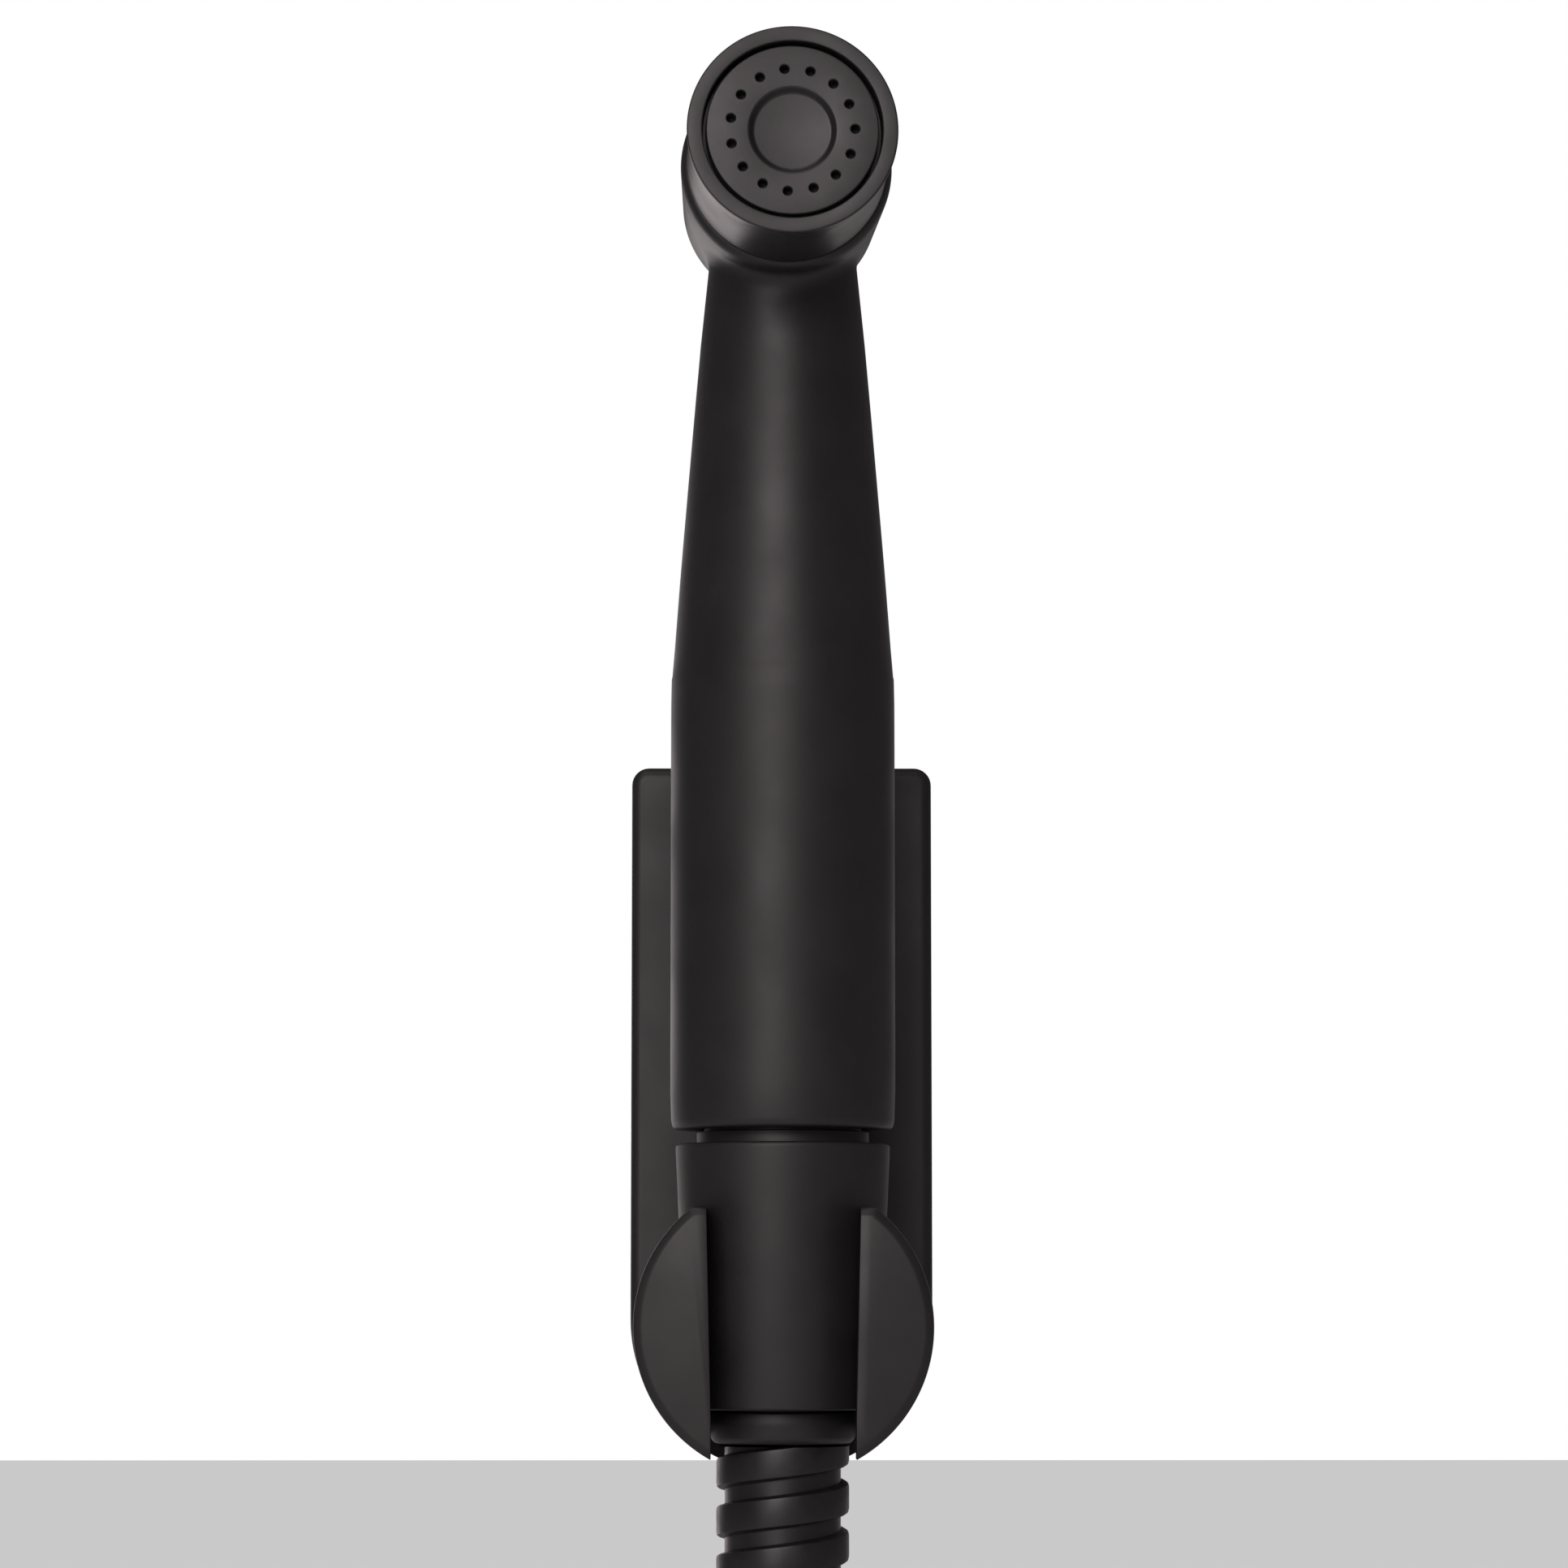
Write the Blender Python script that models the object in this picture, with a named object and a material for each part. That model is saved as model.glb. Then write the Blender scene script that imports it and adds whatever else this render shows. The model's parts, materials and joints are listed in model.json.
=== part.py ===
"""Hand-held bidet shower in its wall holder, with its metal hose.

Blender 4.5, metres, +Z up. The origin is the centre of the wall plate's back face, the wall is the
plane y = 0 and the nozzle looks towards -Y. Lengths below are in millimetres, and MM turns them
into metres where a mesh is made.
"""

import math

import bmesh
import bpy
from mathutils import Matrix, Vector

MM = 0.001
GAP = 0.3  # between pieces that touch

# Wall plate: straight sides, round bottom
PLATE_W, PLATE_H, PLATE_T = 34.7, 81.0, 8.0
PLATE_CORNER, PLATE_EDGE = 2.0, 1.3
FIXING_Z = (32.0, 10.0)  # the two wall screws, on the centreline above the holder
FIXING_R, FIXING_HEAD_R = 2.3, 4.5

# Holder: a short horizontal cylinder, cut flat on top, with a conical seat and a slot for the hose
HOLDER_R, HOLDER_Z, HOLDER_TOP = 16.3, -23.8, -10.9
HOLDER_FRONT, HOLDER_CHAMFER = 41.7, 0.9
SLOT_TOP_W, SLOT_LOW_W = 16.8, 15.8
ARM_SCREW_R, ARM_SCREW_HEAD_R, ARM_SCREW_END = 2.4, 4.7, 14.2
PIN_Z, PIN_R = -34.0, 1.5

# Handset axis: vertical, this far from the wall; the nozzle looks a little to +X
AXIS_OUT, HANDSET_YAW = 28.0, math.radians(1.9)

# Handle: (height, radius) from its foot to where it enters the head
HANDLE_FOOT = -2.1
HANDLE_OUTLINE = (
    (HANDLE_FOOT, 11.9),
    (-1.7, 12.27),
    (2.5, 12.5),
    (45.5, 12.5),
    (48.5, 12.37),
    (51.5, 12.12),
    (60.7, 11.42),
    (69.8, 10.66),
    (78.8, 9.9),
    (87.9, 9.12),
    (94.0, 8.6),
    (100.0, 8.15),
)
HANDLE_BORE_R, SPIGOT_BORE_R, SPIGOT_TOP = 5.0, 9.0, 9.4

# Cone nut on the hose, sitting in the holder
NUT_TOP, NUT_FOOT, NUT_TOP_R, NUT_FOOT_R = -3.7, -32.85, 12.0, 10.62
NUT_SHOULDER = -19.2

# Head: a barrel across the top of the handle. Its own frame has Z along the nozzle axis, forwards
# from the handle's axis, Y up and X across.
HEAD_Z, HEAD_TILT = 104.05, math.radians(1.5)
BARREL_R, BARREL_BACK_R = 11.75, 11.13
BARREL_BACK, BARREL_FRONT, THREAD_FRONT = -10.0, 11.4, 17.5
PIVOT_BACK, PIVOT_UP, PIVOT_R = 13.2, 9.0, 1.2
LUG_RISE = 1.6  # how far the lug and the ears stand above the pivot, towards the head
NOZZLE_FRONT, NOZZLE_R, LIP_R = 27.0, 11.45, 9.78
FACE_R, FACE_FRONT = 9.35, 26.6
JETS, JET_R, JET_CIRCLE_R, JET_TURN = 15, 0.49, 6.78, math.radians(1.4)

# Hose: 1.2 m of double-interlock metal hose, put away in a hanging coil of two turns
HOSE_R = 7.33
HOSE_START = (0.0, -28.0, -36.9)
LEAD_POINTS = (
    HOSE_START,
    (0.0, -28.0, -52.0),
    (0.3, -27.8, -66.0),
    (2.3, -27.0, -82.0),
    (8.0, -25.2, -96.5),
    (9.4, -24.8, -98.9),
)
COIL_CENTRE, COIL_R = (0.0, -192.0), 78.0
COIL_BACK, COIL_FRONT = -12.6, -60.1
TAIL_X, TAIL_Y = 96.0, -52.7
TAIL_POINTS = ((TAIL_X - 0.1, TAIL_Y, -197.5), (TAIL_X, TAIL_Y, -205.0), (TAIL_X, TAIL_Y, -212.0))
TIE_ANGLE, TIE_WIDTH, TIE_THICK = math.radians(135), 12.0, 1.3

FINE, PLAIN, SMALL = 48, 32, 20  # facets round a piece
OUT_OF_WALL = (math.radians(90), 0, 0)  # turns a piece made about Z to point towards -Y


# ---------------------------------------------------------------- helpers
def clear_scene():
    for obj in list(bpy.data.objects):
        bpy.data.objects.remove(obj)


def material(name, colour, roughness, metallic=0.0):
    made = bpy.data.materials.new(name)
    made.use_nodes = True
    shader = made.node_tree.nodes["Principled BSDF"]
    shader.inputs["Base Color"].default_value = (*colour, 1.0)
    shader.inputs["Roughness"].default_value = roughness
    shader.inputs["Metallic"].default_value = metallic
    return made


def frame(name, place, rotation, parent=None):
    """An empty that holds the pieces of one axis."""
    made = bpy.data.objects.new(name, None)
    bpy.context.scene.collection.objects.link(made)
    made.parent = parent
    made.location = Vector(place) * MM
    made.rotation_euler = rotation
    return made


def finish(name, bm, surface, parent=None, smooth=True):
    """The mesh in bm, in millimetres, as an object in metres under parent."""
    bmesh.ops.remove_doubles(bm, verts=bm.verts, dist=1e-4)
    bmesh.ops.recalc_face_normals(bm, faces=bm.faces)
    bmesh.ops.transform(bm, matrix=Matrix.Scale(MM, 4), verts=bm.verts)
    mesh = bpy.data.meshes.new(name)
    bm.to_mesh(mesh)
    bm.free()
    if smooth:
        mesh.shade_smooth()
        mesh.set_sharp_from_angle(angle=math.radians(35))
    made = bpy.data.objects.new(name, mesh)
    bpy.context.scene.collection.objects.link(made)
    made.parent = parent
    if surface:
        made.data.materials.append(surface)
    return made


def turned(name, outline, surface, parent=None, steps=PLAIN):
    """The closed outline of (radius, height) points, turned about Z."""
    bm = bmesh.new()
    verts = [bm.verts.new((r, 0.0, z)) for r, z in outline]
    edges = [bm.edges.new((a, b)) for a, b in zip(verts, verts[1:] + verts[:1])]
    bmesh.ops.spin(
        bm,
        geom=verts + edges,
        cent=(0, 0, 0),
        axis=(0, 0, 1),
        angle=2 * math.pi,
        steps=steps,
        use_merge=True,
    )
    return finish(name, bm, surface, parent)


def ring(r_in, r_out, low, high):
    """The outline of a plain washer."""
    return ((r_out, high), (r_out, low), (r_in, low), (r_in, high))


def rod(radius, low, high):
    return ((0.0, high), (radius, high), (radius, low), (0.0, low))


def round_section(radius, wire, height, points=8):
    """The outline of an O-ring: a circle of radius wire at this radius and height."""
    turns = (2 * math.pi * i / points for i in range(points))
    return tuple((radius + wire * math.cos(a), height - wire * math.sin(a)) for a in turns)


def loft(name, rings, surface, parent=None):
    """A closed solid through rings of equal numbers of points, capped at both ends."""
    bm = bmesh.new()
    loops = [[bm.verts.new(p) for p in points] for points in rings]
    for low, high in zip(loops, loops[1:]):
        for i in range(len(low)):
            j = (i + 1) % len(low)
            bm.faces.new((low[i], low[j], high[j], high[i]))
    bm.faces.new(loops[0][::-1])
    bm.faces.new(loops[-1])
    return finish(name, bm, surface, parent)


def arc(x, z, radius, start, end, steps):
    """Points round (x, z) from one angle to another, in degrees, both ends included."""
    turns = (math.radians(start + (end - start) * i / steps) for i in range(steps + 1))
    return [(x + radius * math.cos(a), z + radius * math.sin(a)) for a in turns]


def block(name, low, high, surface=None, parent=None):
    (x0, y0, z0), (x1, y1, z1) = low, high
    rings = [[(x0, y0, z), (x1, y0, z), (x1, y1, z), (x0, y1, z)] for z in (z0, z1)]
    return loft(name, rings, surface, parent)


def boolean(obj, other, operation="DIFFERENCE"):
    """Cuts other from obj, or joins it on, and keeps other as a hidden helper."""
    step = obj.modifiers.new(other.name, "BOOLEAN")
    step.operation, step.solver, step.object = operation, "EXACT", other
    other.hide_render = True
    other.display_type = "WIRE"


def across(x0, x1, radius, back, up, steps=SMALL):
    """A rod along X in the head's frame, as rings for loft."""
    outline = arc(-back, up, radius, 0, 360 - 360 / steps, steps - 1)
    return [[(x, b, f) for f, b in outline] for x in (x0, x1)]


def hexagon(corner_r, z, turn=0):
    turns = (math.radians(60 * i + turn) for i in range(6))
    return [(corner_r * math.cos(a), corner_r * math.sin(a), z) for a in turns]


# ---------------------------------------------------------------- wall bracket
def plate_outline(inset):
    """The plate's outline, seen from the front, drawn in by inset."""
    half, top = PLATE_W / 2 - inset, PLATE_H / 2 - inset
    corner = max(PLATE_CORNER - inset, 0.6)
    low = -PLATE_H / 2 + PLATE_W / 2
    return (
        arc(0, low, half, 180, 360, 24)
        + arc(half - corner, top - corner, corner, 0, 90, 4)
        + arc(corner - half, top - corner, corner, 90, 180, 4)
    )


def wall_plate(black):
    turns = [math.radians(a) for a in (0, 30, 60, 90)]
    rounding = [(PLATE_EDGE * math.sin(a), PLATE_EDGE * (1 - math.cos(a))) for a in turns]
    layers = [(0.0, 0.0)] + [(PLATE_T - PLATE_EDGE + y, inset) for y, inset in rounding]
    plate = loft("wall_plate", [[(x, -y, z) for x, z in plate_outline(i)] for y, i in layers], black)
    slope = FIXING_HEAD_R - FIXING_R
    for i, z in enumerate(FIXING_Z):
        out = PLATE_T + 1
        profile = (
            (0, out),
            (FIXING_HEAD_R + 1, out),
            (FIXING_R, PLATE_T - slope),
            (FIXING_R, -1),
            (0, -1),
        )
        hole = turned(f"cut_fixing_{i}", profile, None, frame(f"at_fixing_{i}", (0, 0, z), OUT_OF_WALL), 24)
        boolean(plate, hole)
    at_screw = frame("at_arm_screw", (0, 0, HOLDER_Z), OUT_OF_WALL)
    screw_hole = (
        (0, PLATE_T + 1),
        (ARM_SCREW_R + GAP, PLATE_T + 1),
        (ARM_SCREW_R + GAP, 2.9),
        (ARM_SCREW_HEAD_R + GAP, 0.5),
        (ARM_SCREW_HEAD_R + GAP, -1),
        (0, -1),
    )
    boolean(plate, turned("cut_plate_screw", screw_hole, None, at_screw, 24))
    at_pin = frame("at_pin", (0, 0, PIN_Z), OUT_OF_WALL)
    boolean(plate, turned("cut_plate_pin", rod(PIN_R + GAP, PLATE_T - 3, PLATE_T + 1), None, at_pin, SMALL))
    return at_screw, at_pin


def holder_outline(inset):
    """The holder's outline: a circle cut flat on top."""
    radius, top = HOLDER_R - inset, HOLDER_TOP - HOLDER_Z - inset
    side = math.degrees(math.asin(top / radius))
    return arc(0, HOLDER_Z, radius, 180 - side, 360 + side, 40)


def nut_radius(z):
    share = (z - NUT_FOOT) / (NUT_TOP - NUT_FOOT)
    return NUT_FOOT_R + (NUT_TOP_R - NUT_FOOT_R) * share


def holder_arm(black, at_screw, at_pin):
    back, front = PLATE_T + GAP, HOLDER_FRONT
    layers = ((back, 0.0), (front - HOLDER_CHAMFER, 0.0), (front, HOLDER_CHAMFER))
    arm = loft("holder_arm", [[(x, -y, z) for x, z in holder_outline(i)] for y, i in layers], black)
    low, high = -50.0, 5.0
    seat = ((0, high), (nut_radius(high) + GAP, high), (nut_radius(low) + GAP, low), (0, low))
    boolean(arm, turned("cut_seat", seat, None, frame("at_seat", (0, -AXIS_OUT, 0), (0, 0, 0)), FINE))
    tops = ((low, SLOT_LOW_W), (HOLDER_Z - 10, SLOT_LOW_W), (HOLDER_TOP, SLOT_TOP_W), (high, SLOT_TOP_W))
    slot = []
    for z, width in tops:
        half = width / 2
        slot.append([(-half, -60, z), (half, -60, z), (half, -AXIS_OUT, z), (-half, -AXIS_OUT, z)])
    boolean(arm, loft("cut_slot", slot, None))
    hole = rod(ARM_SCREW_R + GAP, back - 1, ARM_SCREW_END + GAP)
    boolean(arm, turned("cut_arm_screw", hole, None, at_screw, SMALL))
    boolean(arm, turned("cut_arm_pin", rod(PIN_R + GAP, back - 1, PLATE_T + 3.3), None, at_pin, SMALL))


def bracket_fasteners(steel, at_screw, at_pin):
    head, shank = ARM_SCREW_HEAD_R, ARM_SCREW_R
    screw = (
        (0, ARM_SCREW_END),
        (shank, ARM_SCREW_END),
        (shank, 2.6),
        (head - GAP, 0.7),
        (head - GAP, 0.4),
        (0, 0.4),
    )
    made = turned("arm_screw", screw, steel, at_screw, 24)
    key_r, key_end = 1.7, 2.4
    boolean(made, loft("cut_arm_key", [hexagon(key_r, z) for z in (-0.5, key_end)], None, at_screw))
    turned("locating_pin", rod(PIN_R, PLATE_T - 2.7, PLATE_T + 3.0), steel, at_pin, SMALL)


# ---------------------------------------------------------------- handle and hose end
def handle_body(black, handset, head):
    outside = [(r, z) for z, r in HANDLE_OUTLINE[::-1]]
    outline = [(0, HANDLE_OUTLINE[-1][0]), *outside, (0, HANDLE_FOOT)]
    body = turned("handle_body", outline, black, handset, FINE)
    thread_r = 8.4
    barrel = (
        (0, THREAD_FRONT),
        (thread_r, THREAD_FRONT),
        (thread_r, BARREL_FRONT),
        (10.7, BARREL_FRONT),
        (11.3, BARREL_FRONT - 0.4),
        (BARREL_R, BARREL_FRONT - 1.6),
        (BARREL_BACK_R, BARREL_BACK + 2.2),
        (10.6, BARREL_BACK + 0.7),
        (9.6, BARREL_BACK),
        (0, BARREL_BACK),
    )
    boolean(body, turned("add_barrel", barrel, None, head, FINE), "UNION")
    lug_r, half = 2.3, 3.2
    boolean(body, loft("add_lug_end", across(-half, half, lug_r, PIVOT_BACK, PIVOT_UP), None, head), "UNION")
    root_low = (-half, PIVOT_UP - lug_r, -PIVOT_BACK)
    root_high = (half, PIVOT_UP + LUG_RISE, BARREL_BACK + 2)
    boolean(body, block("add_lug", root_low, root_high, None, head), "UNION")
    bore = (
        (0, HEAD_Z),
        (HANDLE_BORE_R, HEAD_Z),
        (HANDLE_BORE_R, SPIGOT_TOP),
        (SPIGOT_BORE_R, SPIGOT_TOP),
        (SPIGOT_BORE_R, HANDLE_FOOT - 1),
        (0, HANDLE_FOOT - 1),
    )
    boolean(body, turned("cut_handle_bore", bore, None, handset, PLAIN))
    chamber = (
        (0, THREAD_FRONT + 1),
        (6.5, THREAD_FRONT + 1),
        (6.5, 4.6),
        (5.2, 4.6),
        (5.2, -2.5),
        (4.6, -2.5),
        (4.6, BARREL_BACK + 1.6),
        (5.9, BARREL_BACK + 1.6),
        (5.9, BARREL_BACK - 1),
        (0, BARREL_BACK - 1),
    )
    boolean(body, turned("cut_chamber", chamber, None, head, PLAIN))
    boolean(body, loft("cut_pivot", across(-6, 6, PIVOT_R + GAP, PIVOT_BACK, PIVOT_UP, 16), None, head))


def inlet_nipple(brass, handset):
    """The threaded inlet: a spigot in the handle, a neck, and the thread that the cone nut takes."""
    low = -14.2
    outline = (
        (8.7, SPIGOT_TOP - GAP),
        (8.7, HANDLE_FOOT - GAP),
        (9.55, HANDLE_FOOT - GAP),
        (9.55, -5.0),
        (10.2, -5.6),
        (10.2, low + 0.6),
        (9.6, low),
        (5.6, low),
        (5.6, SPIGOT_TOP - GAP),
    )
    turned("inlet_nipple", outline, brass, handset, PLAIN)


def cone_nut(black, handset):
    outline = (
        (11.5, NUT_TOP),
        (NUT_TOP_R - 0.1, NUT_TOP - 0.5),
        (nut_radius(-12.0), -12.0),
        (nut_radius(NUT_FOOT + 0.3), NUT_FOOT + 0.3),
        (NUT_FOOT_R - 0.3, NUT_FOOT),
        (8.2, NUT_FOOT),
        (8.2, NUT_SHOULDER),
        (10.5, NUT_SHOULDER),
        (10.5, NUT_TOP),
    )
    turned("cone_nut", outline, black, handset, FINE)


def hose_end(steel, black, rubber, axis):
    turned("hose_washer", ring(5.7, 9.8, -16.7, -14.6), rubber, axis, PLAIN)
    screen = turned("filter_screen", rod(5.3, -15.9, -15.4), steel, axis, PLAIN)
    for i, (x, y, _) in enumerate([(0.0, 0.0, 0.0), *hexagon(3.0, 0.0)]):
        hole = turned(f"cut_screen_{i}", rod(0.9, -17, -14), None, axis, 8)
        hole.location = Vector((x, y, 0)) * MM
        boolean(screen, hole)
    flange_top, tube_foot = -17.0, HOSE_START[2] + 1.0
    ferrule = (
        (9.2, flange_top),
        (9.2, NUT_SHOULDER + GAP),
        (5.0, NUT_SHOULDER + GAP),
        (5.0, tube_foot),
        (3.4, tube_foot),
        (3.4, flange_top),
    )
    turned("hose_ferrule", ferrule, steel, axis, PLAIN)
    foot = HOSE_START[2] + GAP
    collar = (
        (7.8, NUT_SHOULDER - 1.0),
        (7.8, NUT_FOOT - GAP),
        (8.3, NUT_FOOT - GAP),
        (8.3, NUT_FOOT - 1.6),
        (7.75, foot + 0.6),
        (7.5, foot),
        (5.4, foot),
        (5.4, NUT_SHOULDER - 1.0),
    )
    turned("hose_collar", collar, black, axis, PLAIN)


# ---------------------------------------------------------------- valve and trigger, in the head's frame
def valve(brass, steel, rubber, head):
    seat = ((6.2, 8.2), (6.2, 4.9), (2.6, 4.9), (2.6, 8.5), (3.4, 8.5), (3.6, 8.2))
    turned("valve_seat", seat, brass, head, PLAIN)
    stem = (
        (0, 13.6),
        (1.7, 13.6),
        (1.7, 11.8),
        (4.3, 11.8),
        (4.3, 10.2),
        (1.3, 10.2),
        (1.3, -15.5),
        (0.9, -15.9),
        (0, -15.9),
    )
    turned("valve_stem", stem, steel, head, SMALL)
    turned("poppet_seal", ring(1.6, 4.0, 8.8, 9.9), rubber, head, SMALL)
    turned("stem_oring", round_section(2.3, 0.65, -4.4), rubber, head, SMALL)
    gland = (
        (4.2, -3.0),
        (4.2, -10.3),
        (6.3, -10.3),
        (6.3, -12.1),
        (5.9, -12.4),
        (1.6, -12.4),
        (1.6, -5.5),
        (3.3, -5.5),
        (3.3, -3.0),
    )
    turned("rear_gland", gland, brass, head, PLAIN)
    turned("gland_oring", round_section(5.05, 0.5, -9.3), rubber, head, PLAIN)


def valve_spring(steel, head):
    """A compression spring between the poppet and the diffuser: one tube swept along a helix."""
    coil_r, wire, low, high, turns, steps, sides = 3.0, 0.35, 12.6, 18.2, 4.5, 14, 6
    rings = []
    for i in range(round(turns * steps) + 1):
        a = 2 * math.pi * i / steps
        z = low + (high - low) * i / (turns * steps)
        out = Vector((math.cos(a), math.sin(a), 0))
        corners = (2 * math.pi * k / sides for k in range(sides))
        ring = [(coil_r + wire * math.cos(b), z + wire * math.sin(b)) for b in corners]
        rings.append([out * r + Vector((0, 0, height)) for r, height in ring])
    loft("valve_spring", rings, steel, head)


LEVER_INSIDE = ((16.2, 11.0), (16.2, -6.0), (17.0, -16.0), (19.4, -29.0), (22.6, -41.0), (23.2, -44.0))
LEVER_THICK, LEVER_HALF = 2.2, 7.0


def trigger_lever(black, head):
    """A thumb lever behind the head: a bent plate with two ears on the pivot pin."""
    edge, thinned = 0.7, 0.35
    flat = LEVER_HALF - edge
    widths = ((-LEVER_HALF, thinned), (-flat, 0.0), (flat, 0.0), (LEVER_HALF, thinned))
    rings = []
    for x, inset in widths:
        inside = [(x, up, -back - inset) for back, up in LEVER_INSIDE]
        outside = [(x, up, inset - back - LEVER_THICK) for back, up in LEVER_INSIDE]
        rings.append(inside + outside[::-1])
    lever = loft("trigger_lever", rings, black, head)
    ear_r, ear_in, ear_out = 2.4, 3.5, 5.9
    for name, x0, x1 in (("right", ear_in, ear_out), ("left", -ear_out, -ear_in)):
        ear = loft(f"add_ear_{name}", across(x0, x1, ear_r, PIVOT_BACK, PIVOT_UP), None, head)
        boolean(lever, ear, "UNION")
        web_low, web_high = (x0, PIVOT_UP - ear_r, -17.3), (x1, PIVOT_UP + LUG_RISE, -PIVOT_BACK)
        boolean(lever, block(f"add_web_{name}", web_low, web_high, None, head), "UNION")
    boolean(lever, loft("cut_ears", across(-8, 8, PIVOT_R + GAP, PIVOT_BACK, PIVOT_UP, 16), None, head))


def pivot_pin(steel, head):
    loft("pivot_pin", across(-6.3, 6.3, PIVOT_R, PIVOT_BACK, PIVOT_UP, 16), steel, head)


# ---------------------------------------------------------------- nozzle, in the head's frame
def nozzle(black, steel, rubber, head):
    back, front = BARREL_FRONT + 0.4, NOZZLE_FRONT
    collar = (
        (NOZZLE_R - 0.25, front),
        (NOZZLE_R, front - 0.25),
        (NOZZLE_R - 0.05, front - 1.5),
        (NOZZLE_R - 0.35, front - 3.4),
        (11.05, back + 0.3),
        (10.75, back),
        (8.75, back),
        (8.75, 18.8),
        (9.25, 18.8),
        (9.25, 24.6),
        (LIP_R, 24.6),
        (LIP_R, front - 0.15),
        (LIP_R + 0.15, front),
    )
    turned("nozzle_collar", collar, black, head, FINE)
    turned("nozzle_oring", round_section(7.75, 0.42, 18.22), rubber, head, PLAIN)
    diffuser = turned("diffuser_disc", rod(8.8, 19.1, 20.3), steel, head, PLAIN)
    for i in range(6):
        hole = turned(f"cut_diffuser_{i}", rod(1.0, 18, 21), None, head, 8)
        a = math.radians(60 * i + 30)
        hole.location = Vector((5.6 * math.cos(a), 5.6 * math.sin(a), 0)) * MM
        boolean(diffuser, hole)
    recess_top, recess_low, deep = 4.74, 4.25, 0.7
    disc = (
        (0, FACE_FRONT - deep),
        (recess_low, FACE_FRONT - deep),
        (recess_top, FACE_FRONT),
        (FACE_R - 0.3, FACE_FRONT),
        (FACE_R, FACE_FRONT - 0.3),
        (FACE_R, 24.9),
        (8.85, 24.9),
        (8.85, 20.7),
        (7.6, 20.7),
        (7.6, 24.6),
        (0, 24.6),
    )
    face = turned("spray_disc", disc, black, head, FINE)
    for i in range(JETS):
        jet = turned(f"cut_jet_{i:02d}", rod(JET_R, 23, 28), None, head, 8)
        a = JET_TURN + 2 * math.pi * i / JETS
        jet.location = Vector((JET_CIRCLE_R * math.cos(a), JET_CIRCLE_R * math.sin(a), 0)) * MM
        boolean(face, jet)


# ---------------------------------------------------------------- hose
def smooth_route(points, step=12.0):
    """Points along a Catmull-Rom curve through the route's own points, about a step apart."""
    route = [Vector(p) for p in points]
    route = [2 * route[0] - route[1], *route, 2 * route[-1] - route[-2]]
    line = []
    for p0, p1, p2, p3 in zip(route, route[1:], route[2:], route[3:]):
        pieces = max(1, round((p2 - p1).length / step))
        for i in range(pieces):
            t = i / pieces
            bend = (2 * p0 - 5 * p1 + 4 * p2 - p3) * t**2 + (3 * p1 - p0 - 3 * p2 + p3) * t**3
            line.append(0.5 * (2 * p1 + (p2 - p0) * t + bend))
    return line + [route[-2]]


def hose_run(name, points, steel):
    line = smooth_route(points)
    curve = bpy.data.curves.new(name, "CURVE")
    curve.dimensions = "3D"
    curve.bevel_depth = HOSE_R * MM
    curve.bevel_resolution = 3
    curve.use_fill_caps = True
    spline = curve.splines.new("POLY")
    spline.points.add(len(line) - 1)
    for point, place in zip(spline.points, line):
        point.co = (*(place * MM), 1.0)
    made = bpy.data.objects.new(name, curve)
    bpy.context.scene.collection.objects.link(made)
    curve.materials.append(steel)


def hose_coil(steel, axis):
    """The outer shape of the coil's two turns: a ring in a plane parallel to the wall."""
    outline = ring(COIL_R - HOSE_R, COIL_R + HOSE_R, -COIL_BACK, -COIL_FRONT)
    turned("hose_coil", outline, steel, axis, 40)


def coil_tie(fabric, axis):
    """A hook-and-loop strap round the coil's turns."""
    slack = 0.7
    low, high = COIL_R - HOSE_R - slack, COIL_R + HOSE_R + slack
    near, far = -COIL_BACK - slack, -COIL_FRONT + slack
    t, half = TIE_THICK, TIE_WIDTH / 2
    strap = block("coil_tie", (low - t, -half, near - t), (high + t, half, far + t), fabric, axis)
    strap.rotation_euler = (0, 0, TIE_ANGLE)
    inside = block("cut_tie", (low, -half - 1, near), (high, half + 1, far), None, axis)
    inside.rotation_euler = (0, 0, TIE_ANGLE)
    boolean(strap, inside)


def supply_end(steel, black, rubber):
    """What is on the hose's far end: a crimped ferrule, a washer and the swivelling nut for the supply."""
    axis = frame("supply_axis", (TAIL_X, TAIL_Y, TAIL_POINTS[-1][2]), (0, 0, 0))
    ferrule = (
        (7.8, -GAP),
        (8.3, -1.2),
        (8.3, -9.5),
        (5.2, -9.8),
        (5.2, -20.8),
        (9.2, -20.8),
        (9.2, -22.6),
        (3.4, -22.6),
        (3.4, -GAP),
    )
    turned("far_ferrule", ferrule, steel, axis, PLAIN)
    turned("far_washer", ring(5.7, 9.8, -25.1, -22.9), rubber, axis, PLAIN)
    across_flats, top, foot = 24.0, -10.5, -34.0
    corner = across_flats / math.sqrt(3)
    levels = ((corner - 0.8, foot), (corner, foot + 0.8), (corner, top - 0.8), (corner - 0.8, top))
    nut = [hexagon(r, z, 30) for r, z in levels]
    made = loft("wall_nut", nut, black, axis)
    socket = ((0, top + 1), (5.6, top + 1), (5.6, -20.4), (10.4, -20.4), (10.4, foot - 1), (0, foot - 1))
    boolean(made, turned("cut_nut", socket, None, axis, PLAIN))


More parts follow.
